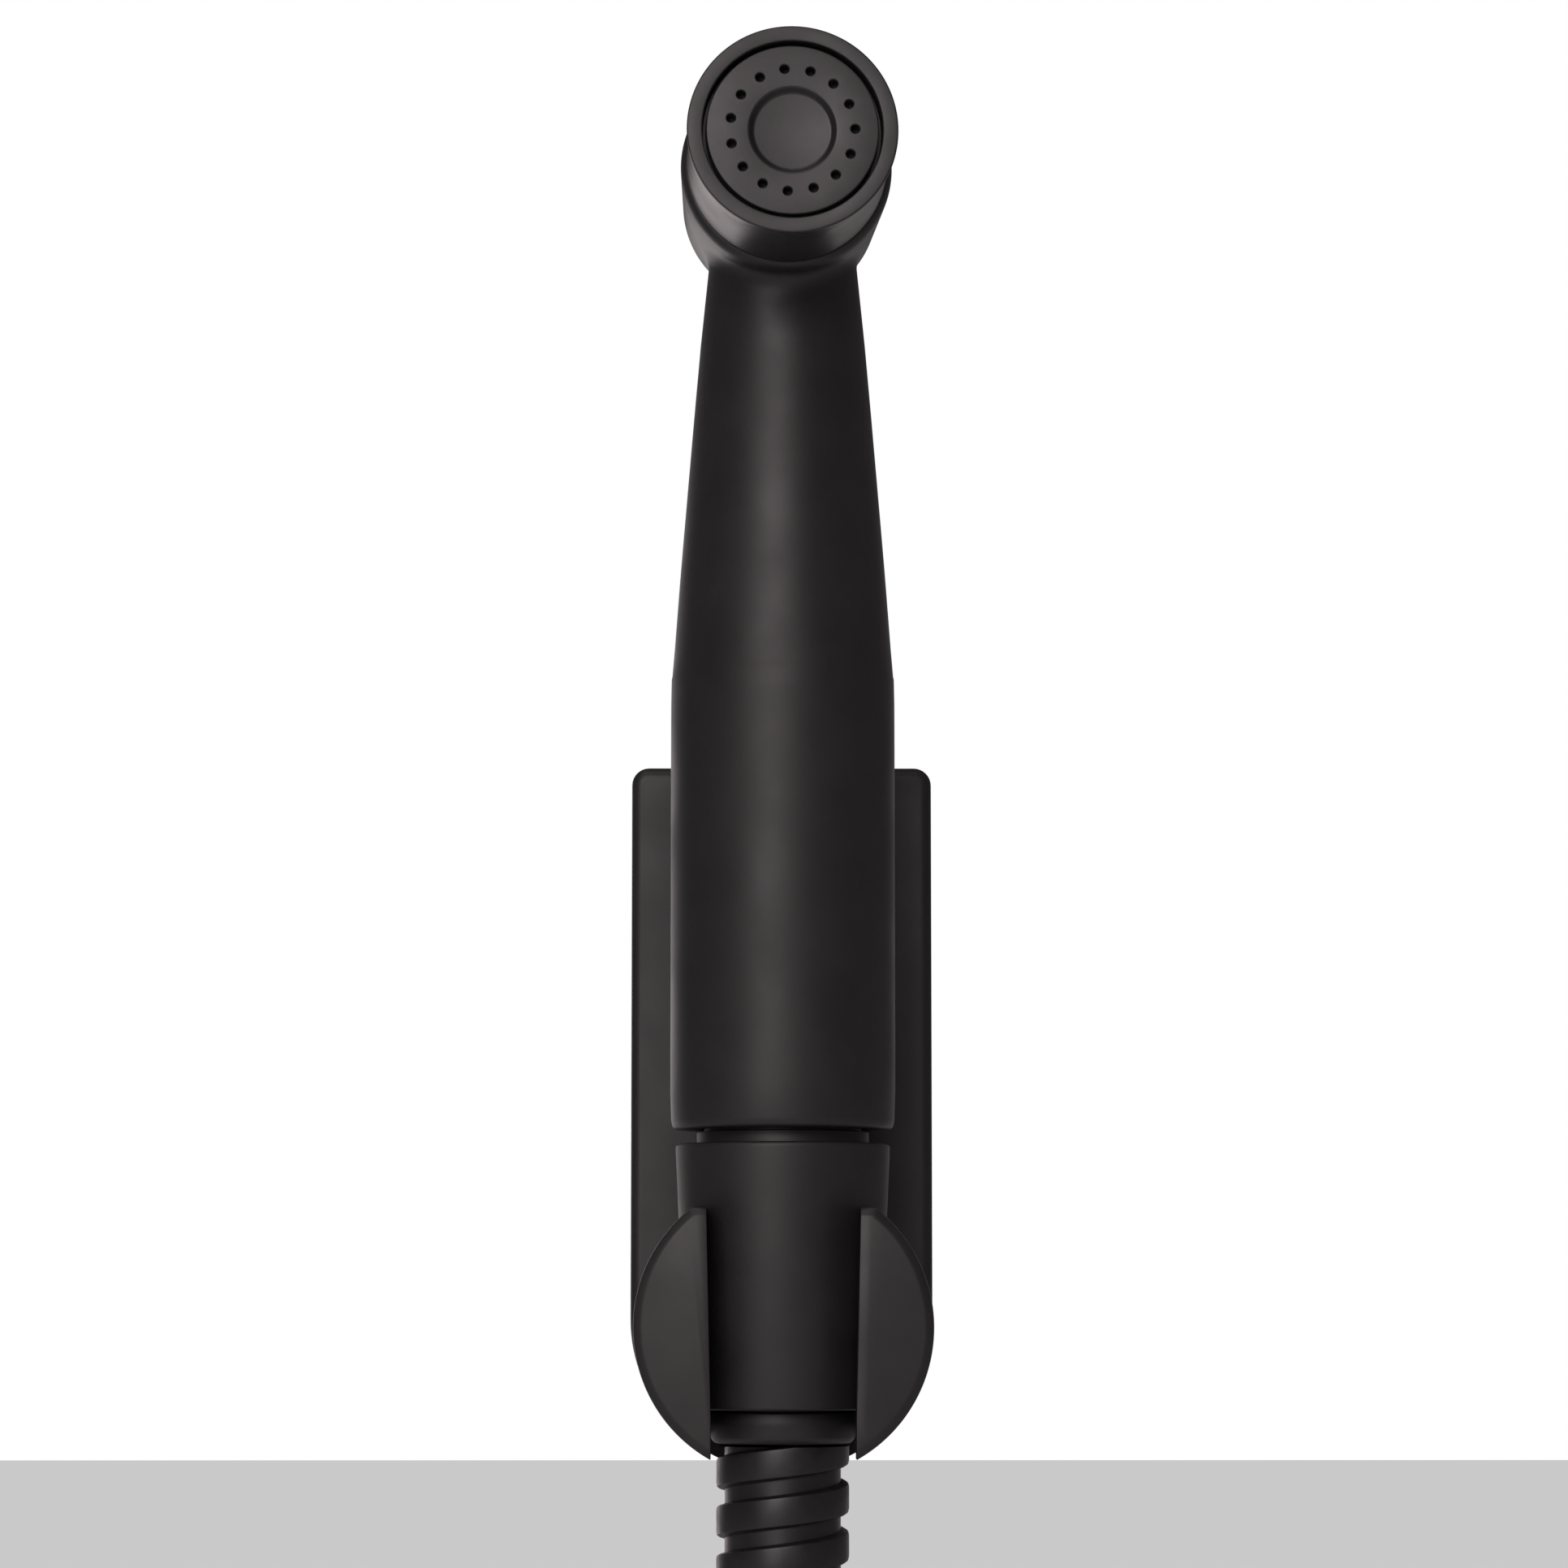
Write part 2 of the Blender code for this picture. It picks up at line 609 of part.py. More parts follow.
def main():
    clear_scene()
    black = material("satin_black", (0.035, 0.034, 0.035), 0.38, 0.6)
    hose_black = material("black_hose_steel", (0.03, 0.03, 0.03), 0.3, 0.9)
    steel = material("stainless_steel", (0.55, 0.55, 0.54), 0.3, 1.0)
    brass = material("plated_brass", (0.5, 0.42, 0.25), 0.35, 1.0)
    rubber = material("seal_rubber", (0.02, 0.02, 0.02), 0.7)
    fabric = material("strap_fabric", (0.03, 0.03, 0.03), 0.95)
    at_screw, at_pin = wall_plate(black)
    holder_arm(black, at_screw, at_pin)
    bracket_fasteners(steel, at_screw, at_pin)
    handset = frame("handset_axis", (0, -AXIS_OUT, 0), (0, 0, HANDSET_YAW))
    head = frame("head_axis", (0, 0, HEAD_Z), (math.pi / 2 - HEAD_TILT, 0, 0), handset)
    handle_body(black, handset, head)
    inlet_nipple(brass, handset)
    cone_nut(black, handset)
    hose_end(steel, black, rubber, handset)
    valve(brass, steel, rubber, head)
    valve_spring(steel, head)
    trigger_lever(black, head)
    pivot_pin(steel, head)
    nozzle(black, steel, rubber, head)
    hose_run("hose", LEAD_POINTS, hose_black)
    hose_run("hose_tail", TAIL_POINTS, hose_black)
    coil_axis = frame("coil_axis", (COIL_CENTRE[0], 0, COIL_CENTRE[1]), OUT_OF_WALL)
    hose_coil(hose_black, coil_axis)
    coil_tie(fabric, coil_axis)
    supply_end(steel, black, rubber)


main()
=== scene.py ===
"""A hand-held bidet shower in its wall holder, with its metal hose hanging in a tied coil.

Metres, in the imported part's frame: the origin is the centre of the wall plate's back, the wall is the plane
y = 0 and the nozzle looks towards -Y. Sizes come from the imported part's own nodes and joints.
"""

import json
import math

import bmesh
import bpy
from mathutils import Matrix, Vector


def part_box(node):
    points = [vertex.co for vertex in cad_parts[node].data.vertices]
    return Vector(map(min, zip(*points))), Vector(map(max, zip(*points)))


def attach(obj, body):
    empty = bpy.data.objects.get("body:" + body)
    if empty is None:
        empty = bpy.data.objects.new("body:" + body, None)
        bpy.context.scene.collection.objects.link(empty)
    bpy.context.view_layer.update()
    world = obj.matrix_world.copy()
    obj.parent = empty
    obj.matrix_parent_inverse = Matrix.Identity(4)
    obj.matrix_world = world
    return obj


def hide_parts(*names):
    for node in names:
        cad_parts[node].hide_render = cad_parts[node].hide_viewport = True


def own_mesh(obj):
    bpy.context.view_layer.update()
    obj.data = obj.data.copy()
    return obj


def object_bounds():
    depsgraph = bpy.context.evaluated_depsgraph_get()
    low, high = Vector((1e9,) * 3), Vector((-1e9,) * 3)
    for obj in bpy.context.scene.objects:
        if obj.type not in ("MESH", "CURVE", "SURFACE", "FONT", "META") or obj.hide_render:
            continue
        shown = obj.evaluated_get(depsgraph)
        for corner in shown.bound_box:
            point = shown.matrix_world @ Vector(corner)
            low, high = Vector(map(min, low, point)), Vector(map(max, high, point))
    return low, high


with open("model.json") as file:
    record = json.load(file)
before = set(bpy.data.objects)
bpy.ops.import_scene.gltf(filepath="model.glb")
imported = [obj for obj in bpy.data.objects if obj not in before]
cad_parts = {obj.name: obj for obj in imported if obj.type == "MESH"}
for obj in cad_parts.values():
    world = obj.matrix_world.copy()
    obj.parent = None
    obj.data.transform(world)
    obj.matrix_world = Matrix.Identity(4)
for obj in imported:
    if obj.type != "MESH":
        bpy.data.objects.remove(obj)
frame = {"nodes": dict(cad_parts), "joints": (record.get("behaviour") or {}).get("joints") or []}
CAD_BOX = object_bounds()
MM = 0.001

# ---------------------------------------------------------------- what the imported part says
def middle(node):
    low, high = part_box(node)
    return (low + high) / 2


JOINTS = {joint["name"]: joint for joint in frame["joints"]}
AXIS = Vector(JOINTS["handset_swivel"]["pos_m"])
FORWARD = (middle("nozzle_oring") - middle("gland_oring")).normalized()
ACROSS = -Vector(JOINTS["trigger_press"]["axis"]).normalized()
UPWARD = FORWARD.cross(ACROSS).normalized()


def placed(origin, x, y, z):
    """The matrix of a frame with this origin and these axes."""
    turn = Matrix((x, y, z)).transposed().to_4x4()
    return Matrix.Translation(origin) @ turn


def head_origin():
    """Where the nozzle's axis meets the handset's axis."""
    seal = middle("nozzle_oring")
    return seal - FORWARD * ((seal.y - AXIS.y) / FORWARD.y)


Z = Vector((0, 0, 1))
HANDSET = placed(Vector((AXIS.x, AXIS.y, 0)), ACROSS, Z.cross(ACROSS), Z)
HEAD = placed(head_origin(), ACROSS, UPWARD, FORWARD)
WALL = placed(Vector((0, 0, 0)), Vector((1, 0, 0)), Z, Vector((0, -1, 0)))


def extent(node, place):
    """(lowest, highest, largest radius) of a node along and round the Z axis of place."""
    back = place.inverted()
    points = [back @ v.co for v in frame["nodes"][node].data.vertices]
    return min(p.z for p in points), max(p.z for p in points), max(p.xy.length for p in points)


# ---------------------------------------------------------------- meshes
def made_object(name, bm, surface, sharp=35):
    """An object from bm, which holds row-frame points. Edges sharper than sharp degrees stay crisp."""
    bmesh.ops.recalc_face_normals(bm, faces=bm.faces)
    mesh = bpy.data.meshes.new(name)
    bm.to_mesh(mesh)
    bm.free()
    mesh.shade_smooth()
    mesh.set_sharp_from_angle(angle=math.radians(sharp))
    made = bpy.data.objects.new(name, mesh)
    bpy.context.scene.collection.objects.link(made)
    if surface:
        mesh.materials.append(surface)
    return made


def softened(outline, bend, steps=4, closed=False):
    """The outline with each corner turned into a small arc that starts bend before it."""
    points = [Vector(p) for p in outline]
    count = len(points)
    out = []
    for i, point in enumerate(points):
        ends = not closed and i in (0, count - 1)
        before, after = points[i - 1], points[(i + 1) % count]
        back, on = before - point, after - point
        if ends or back.length < 1e-9 or on.length < 1e-9 or back.angle(on) > math.radians(172):
            out.append(point)
            continue
        reach_back, reach_on = min(bend, back.length * 0.45), min(bend, on.length * 0.45)
        start, end = point + back.normalized() * reach_back, point + on.normalized() * reach_on
        for k in range(steps + 1):
            t = k / steps
            out.append(start * (1 - t) ** 2 + point * (2 * t * (1 - t)) + end * t**2)
    return out


def bridge(bm, rings, steps, closed=False):
    """Faces between rings of steps points each. A ring of one point is a pole."""
    pairs = list(zip(rings, rings[1:]))
    if closed:
        pairs.append((rings[-1], rings[0]))
    for low, high in pairs:
        for k in range(steps):
            n = (k + 1) % steps
            corners = [low[k % len(low)], low[n % len(low)], high[n % len(high)], high[k % len(high)]]
            kept = [v for i, v in enumerate(corners) if v not in corners[:i]]
            if len(kept) > 2:
                bm.faces.new(kept)


def turned(bm, outline, place, steps=96, closed=False):
    """Adds the outline of (radius, height) turned about the Z axis of place."""
    rings = []
    for radius, height in outline:
        if radius < 1e-7:
            rings.append([bm.verts.new(place @ Vector((0, 0, height)))])
            continue
        turns = (2 * math.pi * k / steps for k in range(steps))
        points = (Vector((radius * math.cos(a), radius * math.sin(a), height)) for a in turns)
        rings.append([bm.verts.new(place @ p) for p in points])
    bridge(bm, rings, steps, closed)


def lathe(name, outline, place, surface, bend=0.15 * MM, steps=96, closed=False):
    bm = bmesh.new()
    turned(bm, softened(outline, bend, closed=closed), place, steps, closed)
    return made_object(name, bm, surface)


def loft(name, rings, surface, sharp=35):
    """A closed body through rings of equally many points, capped at both ends."""
    bm = bmesh.new()
    loops = [[bm.verts.new(p) for p in ring] for ring in rings]
    bm.faces.new(loops[0][::-1])
    bm.faces.new(loops[-1])
    for low, high in zip(loops, loops[1:]):
        for i in range(len(low)):
            j = (i + 1) % len(low)
            bm.faces.new((low[i], low[j], high[j], high[i]))
    return made_object(name, bm, surface, sharp)


def applied(obj, sharp=35):
    """Turns obj's modifiers into its mesh."""
    graph = bpy.context.evaluated_depsgraph_get()
    mesh = bpy.data.meshes.new_from_object(obj.evaluated_get(graph), depsgraph=graph)
    obj.modifiers.clear()
    obj.data = mesh
    mesh.shade_smooth()
    mesh.set_sharp_from_angle(angle=math.radians(sharp))
    return obj


def combined(obj, others, operation="DIFFERENCE"):
    """Cuts the others from obj, or joins them on, and removes them."""
    for other in others:
        step = obj.modifiers.new(other.name, "BOOLEAN")
        step.operation, step.solver, step.object = operation, "EXACT", other
        applied(obj)
        bpy.data.objects.remove(other)
    return obj


def bevelled(obj, width):
    step = obj.modifiers.new("bevel", "BEVEL")
    step.width, step.segments, step.limit_method = width, 2, "ANGLE"
    step.angle_limit = math.radians(40)
    step.use_clamp_overlap = True
    return applied(obj)


def arc(x, z, radius, start, end, steps):
    """Points round (x, z) from one angle to another, in degrees, both ends included."""
    turns = (math.radians(start + (end - start) * i / steps) for i in range(steps + 1))
    return [(x + radius * math.cos(a), z + radius * math.sin(a)) for a in turns]


def placed_piece(piece, body, slot, *nodes):
    """Attaches a new piece to the body it rides on and hides the CAD nodes that it stands for. The slot
    argument is not used.
    """
    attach(piece, body)
    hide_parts(*nodes)
    return piece


# ---------------------------------------------------------------- materials
class Surface:
    """A node material: its shader, and short ways to add noise, ramps and bumps to it."""

    def __init__(self, name, colour, roughness, metallic=0.0, **sockets):
        self.made = bpy.data.materials.new(name)
        self.made.use_nodes = True
        self.tree = self.made.node_tree
        self.shader = self.tree.nodes["Principled BSDF"]
        self.place = self.node("ShaderNodeTexCoord").outputs["Object"]
        self.normal = None
        values = {"Base Color": (*colour, 1.0), "Roughness": roughness, "Metallic": metallic, **sockets}
        for socket, value in values.items():
            self.shader.inputs[socket].default_value = value

    def node(self, kind, **settings):
        made = self.tree.nodes.new(kind)
        for key, value in settings.items():
            if key in made.inputs:
                made.inputs[key].default_value = value
            else:
                setattr(made, key, value)
        return made

    def link(self, output, target):
        self.tree.links.new(output, target)

    def noise(self, size, detail=3.0, stretch=(1.0, 1.0, 1.0)):
        """A noise whose grains are about size metres across, longer along an axis with a large stretch."""
        made = self.node("ShaderNodeTexNoise", Scale=1.0, Detail=detail)
        mapping = self.node("ShaderNodeMapping")
        mapping.inputs["Scale"].default_value = [1 / (size * s) for s in stretch]
        self.link(self.place, mapping.inputs["Vector"])
        self.link(mapping.outputs["Vector"], made.inputs["Vector"])
        return made.outputs["Fac"]

    def mapped(self, value, low, high, start=0.3, end=0.7):
        made = self.node("ShaderNodeMapRange")
        for i, number in ((1, start), (2, end), (3, low), (4, high)):
            made.inputs[i].default_value = number
        self.link(value, made.inputs[0])
        return made.outputs[0]

    def vary_colour(self, value, first, second):
        made = self.node("ShaderNodeMix", data_type="RGBA")
        made.inputs[6].default_value = (*first, 1.0)
        made.inputs[7].default_value = (*second, 1.0)
        self.link(value, made.inputs[0])
        self.link(made.outputs[2], self.shader.inputs["Base Color"])

    def vary_roughness(self, value, low, high):
        self.link(self.mapped(value, low, high), self.shader.inputs["Roughness"])

    def bump(self, value, height, strength=1.0):
        made = self.node("ShaderNodeBump", Strength=strength, Distance=height)
        self.link(value, made.inputs["Height"])
        if self.normal:
            self.link(self.normal, made.inputs["Normal"])
        self.normal = made.outputs["Normal"]
        self.link(self.normal, self.shader.inputs["Normal"])


def satin_black(name, light=1.0, rough=0.49):
    """Satin powder coat: near black, with a fine even grain and patches a little glossier from handling."""
    dark = tuple(c * light for c in (0.0118, 0.0112, 0.0114))
    lit = tuple(c * light for c in (0.0165, 0.0156, 0.0158))
    made = Surface(name, dark, rough, **{"Specular IOR Level": 0.5})
    made.vary_colour(made.mapped(made.noise(6 * MM, 4.0), 0.0, 1.0), dark, lit)
    made.vary_roughness(made.noise(9 * MM, 5.0), rough - 0.05, rough + 0.05)
    made.bump(made.noise(0.55 * MM, 2.0), 0.012 * MM, 0.5)
    made.bump(made.noise(0.16 * MM, 1.0), 0.006 * MM, 0.45)
    return made.made


def hose_black():
    """The hose's black coating, a little smoother than the powder coat, with rubbed patches."""
    dark, rubbed = (0.0085, 0.0082, 0.0084), (0.020, 0.0195, 0.0195)
    made = Surface("black_hose_coat", dark, 0.44, **{"Specular IOR Level": 0.55})
    made.vary_colour(made.mapped(made.noise(3.5 * MM, 6.0), 0.0, 1.0, 0.52, 0.75), dark, rubbed)
    made.vary_roughness(made.noise(2.5 * MM, 4.0), 0.38, 0.50)
    made.bump(made.noise(0.3 * MM, 2.0), 0.008 * MM, 0.4)
    return made.made


def metal(name, colour, roughness, worn):
    """Turned metal: fine grooves from the tool and a slightly uneven shine."""
    made = Surface(name, colour, roughness, 1.0)
    made.vary_colour(made.mapped(made.noise(4 * MM, 4.0), 0.0, 1.0), colour, worn)
    made.vary_roughness(made.noise(1.5 * MM, 3.0), roughness - 0.07, roughness + 0.1)
    made.bump(made.noise(0.25 * MM, 2.0, (8.0, 8.0, 1.0)), 0.006 * MM, 0.4)
    return made.made


def moulded_rubber():
    made = Surface("moulded_rubber", (0.012, 0.012, 0.012), 0.68, **{"Specular IOR Level": 0.35})
    made.vary_roughness(made.noise(1.2 * MM, 3.0), 0.6, 0.75)
    made.bump(made.noise(0.2 * MM, 2.0), 0.01 * MM, 0.5)
    return made.made


def strap_fabric():
    """Hook-and-loop webbing: a fine weave across both directions under a light fuzz."""
    dark, lit = (0.010, 0.010, 0.011), (0.034, 0.034, 0.037)
    made = Surface("strap_webbing", dark, 0.92, **{"Sheen Weight": 0.25, "Sheen Roughness": 0.5})
    row = 0.9 * MM
    rows = made.node("ShaderNodeTexWave", Scale=1 / (2 * row), Distortion=1.2, bands_direction="DIAGONAL")
    made.link(made.place, rows.inputs["Vector"])
    made.vary_colour(made.mapped(made.noise(0.35 * MM, 3.0), 0.0, 1.0), dark, lit)
    made.bump(rows.outputs["Fac"], 0.12 * MM, 0.7)
    made.bump(made.noise(0.22 * MM, 3.0), 0.06 * MM, 0.8)
    return made.made


BLACK = satin_black("satin_black_coat")
FACE_BLACK = satin_black("spray_face_black", 1.15, 0.41)
HOSE_BLACK = hose_black()
STEEL = metal("turned_steel", (0.52, 0.51, 0.49), 0.28, (0.40, 0.39, 0.37))
BRASS = metal("turned_brass", (0.50, 0.40, 0.20), 0.30, (0.40, 0.30, 0.14))
RUBBER = moulded_rubber()
STRAP = strap_fabric()

# ---------------------------------------------------------------- camera
CAMERA_PLACE = Vector((-3.8, -578.0, -20.25)) * MM
CAMERA_PAN, CAMERA_TILT = math.radians(0.41), math.radians(5.89)
CAMERA_LENS = 113.5


def camera():
    made = bpy.data.objects.new("camera", bpy.data.cameras.new("camera"))
    bpy.context.scene.collection.objects.link(made)
    made.data.lens, made.data.sensor_width = CAMERA_LENS, 36.0
    made.data.clip_start, made.data.clip_end = 0.02, 50.0
    made.location = CAMERA_PLACE
    made.rotation_euler = (math.pi / 2 + CAMERA_TILT, 0.0, -CAMERA_PAN)
    bpy.context.scene.camera = made


# ---------------------------------------------------------------- hose
COIL_LOW, COIL_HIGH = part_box("hose_coil")
HOSE_R = 7.33 * MM
COIL_R = (COIL_HIGH.x - COIL_LOW.x) / 2 - HOSE_R
COIL_X, COIL_Z = middle("hose_coil").x, middle("hose_coil").z
# From the handset down to where it joins the coil
LEAD_POINTS = (
    (0.0, -28.0, -36.9),
    (0.0, -28.0, -52.0),
    (0.3, -27.8, -66.0),
    (2.3, -27.0, -82.0),
    (8.0, -25.2, -96.5),
    (18.2, -22.4, -109.8),
    (31.0, -20.6, -119.7),
)
COIL_START, COIL_END = math.radians(60), math.radians(45)
COIL_TURNS = 2 + (COIL_START - COIL_END) / (2 * math.pi)
COIL_BACK, COIL_STEP = -20.0 * MM, 16.0 * MM
STRAIGHT, TAIL_BEND_R = 33.0 * MM, 59.0 * MM
PITCH, BAND_SHARE = 5.27 * MM, 0.63
GROOVE = 0.92 * MM


def through(points, ends, step):
    """Points along a Catmull-Rom curve, about a step apart. ends lie before the first and after the last."""
    route = [ends[0], *points, ends[1]]
    line = []
    for p0, p1, p2, p3 in zip(route, route[1:], route[2:], route[3:]):
        pieces = max(1, round((p2 - p1).length / step))
        for i in range(pieces):
            t = i / pieces
            bend = (2 * p0 - 5 * p1 + 4 * p2 - p3) * t**2 + (3 * p1 - p0 - 3 * p2 + p3) * t**3
            line.append(0.5 * (2 * p1 + (p2 - p0) * t + bend))
    return line + [route[-2]]


def coil_point(turn):
    angle = COIL_START - 2 * math.pi * turn
    x, z = COIL_X + COIL_R * math.cos(angle), COIL_Z + COIL_R * math.sin(angle)
    return Vector((x, COIL_BACK - COIL_STEP * turn, z))


def hose_route():
    """The hose's centreline: down from the handset, two turns of coil, and down to the supply nut."""
    step = 2 * MM
    lead = [Vector(p) * MM for p in LEAD_POINTS] + [coil_point(0)]
    line = through(lead, (2 * lead[0] - lead[1], coil_point(0.03)), step)
    count = round(COIL_TURNS * 2 * math.pi * COIL_R / step)
    line += [coil_point(COIL_TURNS * i / count) for i in range(1, count + 1)]
    heading = Vector((math.sin(COIL_END), 0, -math.cos(COIL_END)))
    corner = line[-1] + heading * STRAIGHT
    line += [line[-1].lerp(corner, i / 16) for i in range(1, 17)]
    centre = corner - Vector((math.cos(COIL_END), 0, math.sin(COIL_END))) * TAIL_BEND_R
    bends = (COIL_END * (1 - i / 24) for i in range(1, 25))
    line += [centre + Vector((math.cos(a), 0, math.sin(a))) * TAIL_BEND_R for a in bends]
    ferrule_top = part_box("far_ferrule")[1].z
    end = Vector((middle("far_ferrule").x, line[-1].y, ferrule_top))
    start = line[-1].copy()
    line += [start.lerp(end, i / 6) for i in range(1, 7)]
    return line


def evenly(line, step):
    """The line resampled at even steps."""
    total = sum((b - a).length for a, b in zip(line, line[1:]))
    count = round(total / step)
    out, i, done = [line[0]], 0, 0.0
    for k in range(1, count):
        target = total * k / count
        while done + (line[i + 1] - line[i]).length < target:
            done += (line[i + 1] - line[i]).length
            i += 1
        out.append(line[i].lerp(line[i + 1], (target - done) / (line[i + 1] - line[i]).length))
    return out + [line[-1]], total


def carried_frames(line):
    """(point, normal, side) along the line, carried without twist."""
    normal = Vector((0, -1, 0))
    out = []
    for i, point in enumerate(line):
        along = (line[min(i + 1, len(line) - 1)] - line[max(i - 1, 0)]).normalized()
        normal = (normal - along * normal.dot(along)).normalized()
        out.append((point, normal, along.cross(normal)))
    return out


def hose():
    """Interlocked metal hose: a strip wound right-handed round the line, in raised bands and grooves."""
    step = 1 * MM
    line, total = evenly(hose_route(), step)
    frames = carried_frames(line)
    band = BAND_SHARE
    profile = (
        (0.0, -0.30 * MM),
        (0.03, -0.07 * MM),
        (0.10, 0.0),
        (band - 0.10, 0.0),
        (band - 0.03, -0.07 * MM),
        (band, -0.30 * MM),
        (band + 0.035, -GROOVE),
        (0.965, -GROOVE),
    )
    sides = 36
    turns = math.ceil(total / PITCH) + 1
    bm = bmesh.new()
    rows = []
    for part, lift in [*profile, (1.0, profile[0][1])]:
        row = []
        for k in range(-sides, turns * sides):
            along = min(max(PITCH * (k / sides + part), 0.0), total)
            spot = along / total * (len(frames) - 1)
            i = min(int(spot), len(frames) - 2)
            (p0, n0, s0), (p1, n1, s1) = frames[i], frames[i + 1]
            t = spot - i
            point, normal, side = p0.lerp(p1, t), n0.lerp(n1, t).normalized(), s0.lerp(s1, t).normalized()
            a = 2 * math.pi * k / sides
            row.append(point + (normal * math.cos(a) + side * math.sin(a)) * (HOSE_R + lift))
        rows.append(row)
    made = [[bm.verts.new(p) for p in row] for row in rows]
    for low, high in zip(made, made[1:]):
        for k in range(len(low) - 1):
            bm.faces.new((low[k], low[k + 1], high[k + 1], high[k]))
    bmesh.ops.remove_doubles(bm, verts=bm.verts, dist=1e-6)
    bmesh.ops.dissolve_degenerate(bm, edges=bm.edges, dist=1e-6)
    bmesh.ops.holes_fill(bm, edges=[e for e in bm.edges if e.is_boundary], sides=0)
    piece = made_object("shower_hose", bm, HOSE_BLACK, 30)
    placed_piece(piece, "hose_end", "hose_black", "hose", "hose_coil", "hose_tail")
    return piece, line, total


# ---------------------------------------------------------------- wall bracket
FIXING_Z = (32.0 * MM, 10.0 * MM)  # the two wall screws' heights
NUT_FOOT_R, NUT_TOP_R, NUT_HEIGHT = 10.62 * MM, 12.0 * MM, 29.15 * MM
SEAT_GAP = 0.3 * MM


def rounded_plate_outline(width, top, low, corner, inset):
    """The plate seen from the front, drawn in by inset: square-topped with small corners, round below."""
    half, rise = width / 2 - inset, top - inset
    r = max(corner - inset, 0.3 * MM)
    return (
        arc(0, low + width / 2, half, 180, 360, 64)
        + arc(half - r, rise - r, r, 0, 90, 8)
        + arc(r - half, rise - r, r, 90, 180, 8)
    )


def wall_plate():
    """The wall plate, its front edge rounded, with two countersunk holes for the wall screws."""
    low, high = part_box("wall_plate")
    thick, edge, back_edge, corner = -low.y, 1.3 * MM, 0.4 * MM, 2.0 * MM
    turns = [math.pi / 2 * i / 8 for i in range(9)]
    layers = [(0.0, back_edge), (back_edge, 0.0)]
    layers += [(thick - edge + edge * math.sin(a), edge * (1 - math.cos(a))) for a in turns]
    width = high.x - low.x
    rings = []
    for y, inset in layers:
        outline = rounded_plate_outline(width, high.z, low.z, corner, inset)
        rings.append([(x, -y, z) for x, z in outline])
    plate = loft("plate_body", rings, BLACK)
    cutters, sink, bore = [], 4.5 * MM, 2.3 * MM
    for k, z in enumerate(FIXING_Z):
        outline = (
            (0, thick + MM),
            (sink + MM, thick + MM),
            (bore, thick + bore - sink),
            (bore, -MM),
            (0, -MM),
        )
        cutters.append(lathe(f"fixing_{k}", outline, Matrix.Translation((0, 0, z)) @ WALL, None, 0.0, 48))
    combined(plate, cutters)
    return placed_piece(plate, "bracket", "satin_black", "wall_plate")


def holder():
    """The holder: a horizontal cylinder cut flat on top, with the nut's conical seat and the hose's slot."""
    low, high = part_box("holder_arm")
    radius = (high.x - low.x) / 2
    centre, top = low.z + radius, high.z
    back, front, chamfer = -high.y, -low.y, 0.9 * MM

    def outline(inset):
        r, rise = radius - inset, top - centre - inset
        side = math.degrees(math.asin(rise / r))
        return arc(0, centre, r, 180 - side, 360 + side, 140)

    layers = [
        (back, 0.3 * MM),
        (back + 0.3 * MM, 0.0),
        (front - chamfer, 0.0),
        (front - 0.72 * chamfer, 0.06 * chamfer),
        (front - 0.10 * chamfer, 0.80 * chamfer),
        (front, chamfer * 1.2),
    ]
    body = loft("holder_body", [[(x, -y, z) for x, z in outline(i)] for y, i in layers], BLACK)
    nut_foot = extent("cone_nut", HANDSET)[0]
    slope = (NUT_TOP_R - NUT_FOOT_R) / NUT_HEIGHT

    def seat(z):
        return NUT_FOOT_R + (z - nut_foot) * slope + SEAT_GAP

    reach = 12 * MM
    below, above = low.z - reach, top + reach
    outline_of_seat = ((0, above), (seat(above), above), (seat(below), below), (0, below))
    cone = lathe("seat", outline_of_seat, HANDSET, None, 0.0, 160)
    half_low, half_top, mouth = 7.9 * MM, 8.4 * MM, AXIS.y - 32 * MM
    widths = ((below, half_low), (centre - 10 * MM, half_low), (top, half_top), (above, half_top))
    rings = [[(-w, mouth, z), (w, mouth, z), (w, AXIS.y, z), (-w, AXIS.y, z)] for z, w in widths]
    combined(body, [cone, loft("slot", rings, None)])
    bevelled(body, 0.28 * MM)
    return placed_piece(body, "bracket", "satin_black", "holder_arm")


# ---------------------------------------------------------------- handset
# Handle: (height, radius) in millimetres, from its foot to where it meets the head
HANDLE_OUTLINE = (
    (2.5, 12.5),
    (24.0, 12.5),
    (45.5, 12.5),
    (48.5, 12.37),
    (51.5, 12.12),
    (60.7, 11.42),
    (69.8, 10.66),
    (78.8, 9.9),
    (86.0, 9.27),
)
NECK_SLOPE = 0.08
BARREL_R, BARREL_BACK, BARREL_FRONT = 11.75 * MM, -10.0 * MM, 11.4 * MM
BARREL_TAPER = 0.036
SHOULDER, SHOULDER_DROP = 1.6 * MM, 0.8 * MM
HEEL, HEEL_DROP = 2.2 * MM, 1.5 * MM


def barrel_radius(depth):
    """The barrel's radius at a depth along the nozzle's axis: tapered backwards, rounded at both ends."""
    front = min(max((depth - BARREL_FRONT + SHOULDER) / SHOULDER, 0.0), 1.0)
    back = min(max((BARREL_BACK + HEEL - depth) / HEEL, 0.0), 1.0)
    fall = SHOULDER_DROP * (1 - math.sqrt(1 - front**2)) + HEEL_DROP * (1 - math.sqrt(1 - back**2))
    taper = BARREL_TAPER * max(BARREL_FRONT - SHOULDER - depth, 0.0)
    return BARREL_R - fall - taper


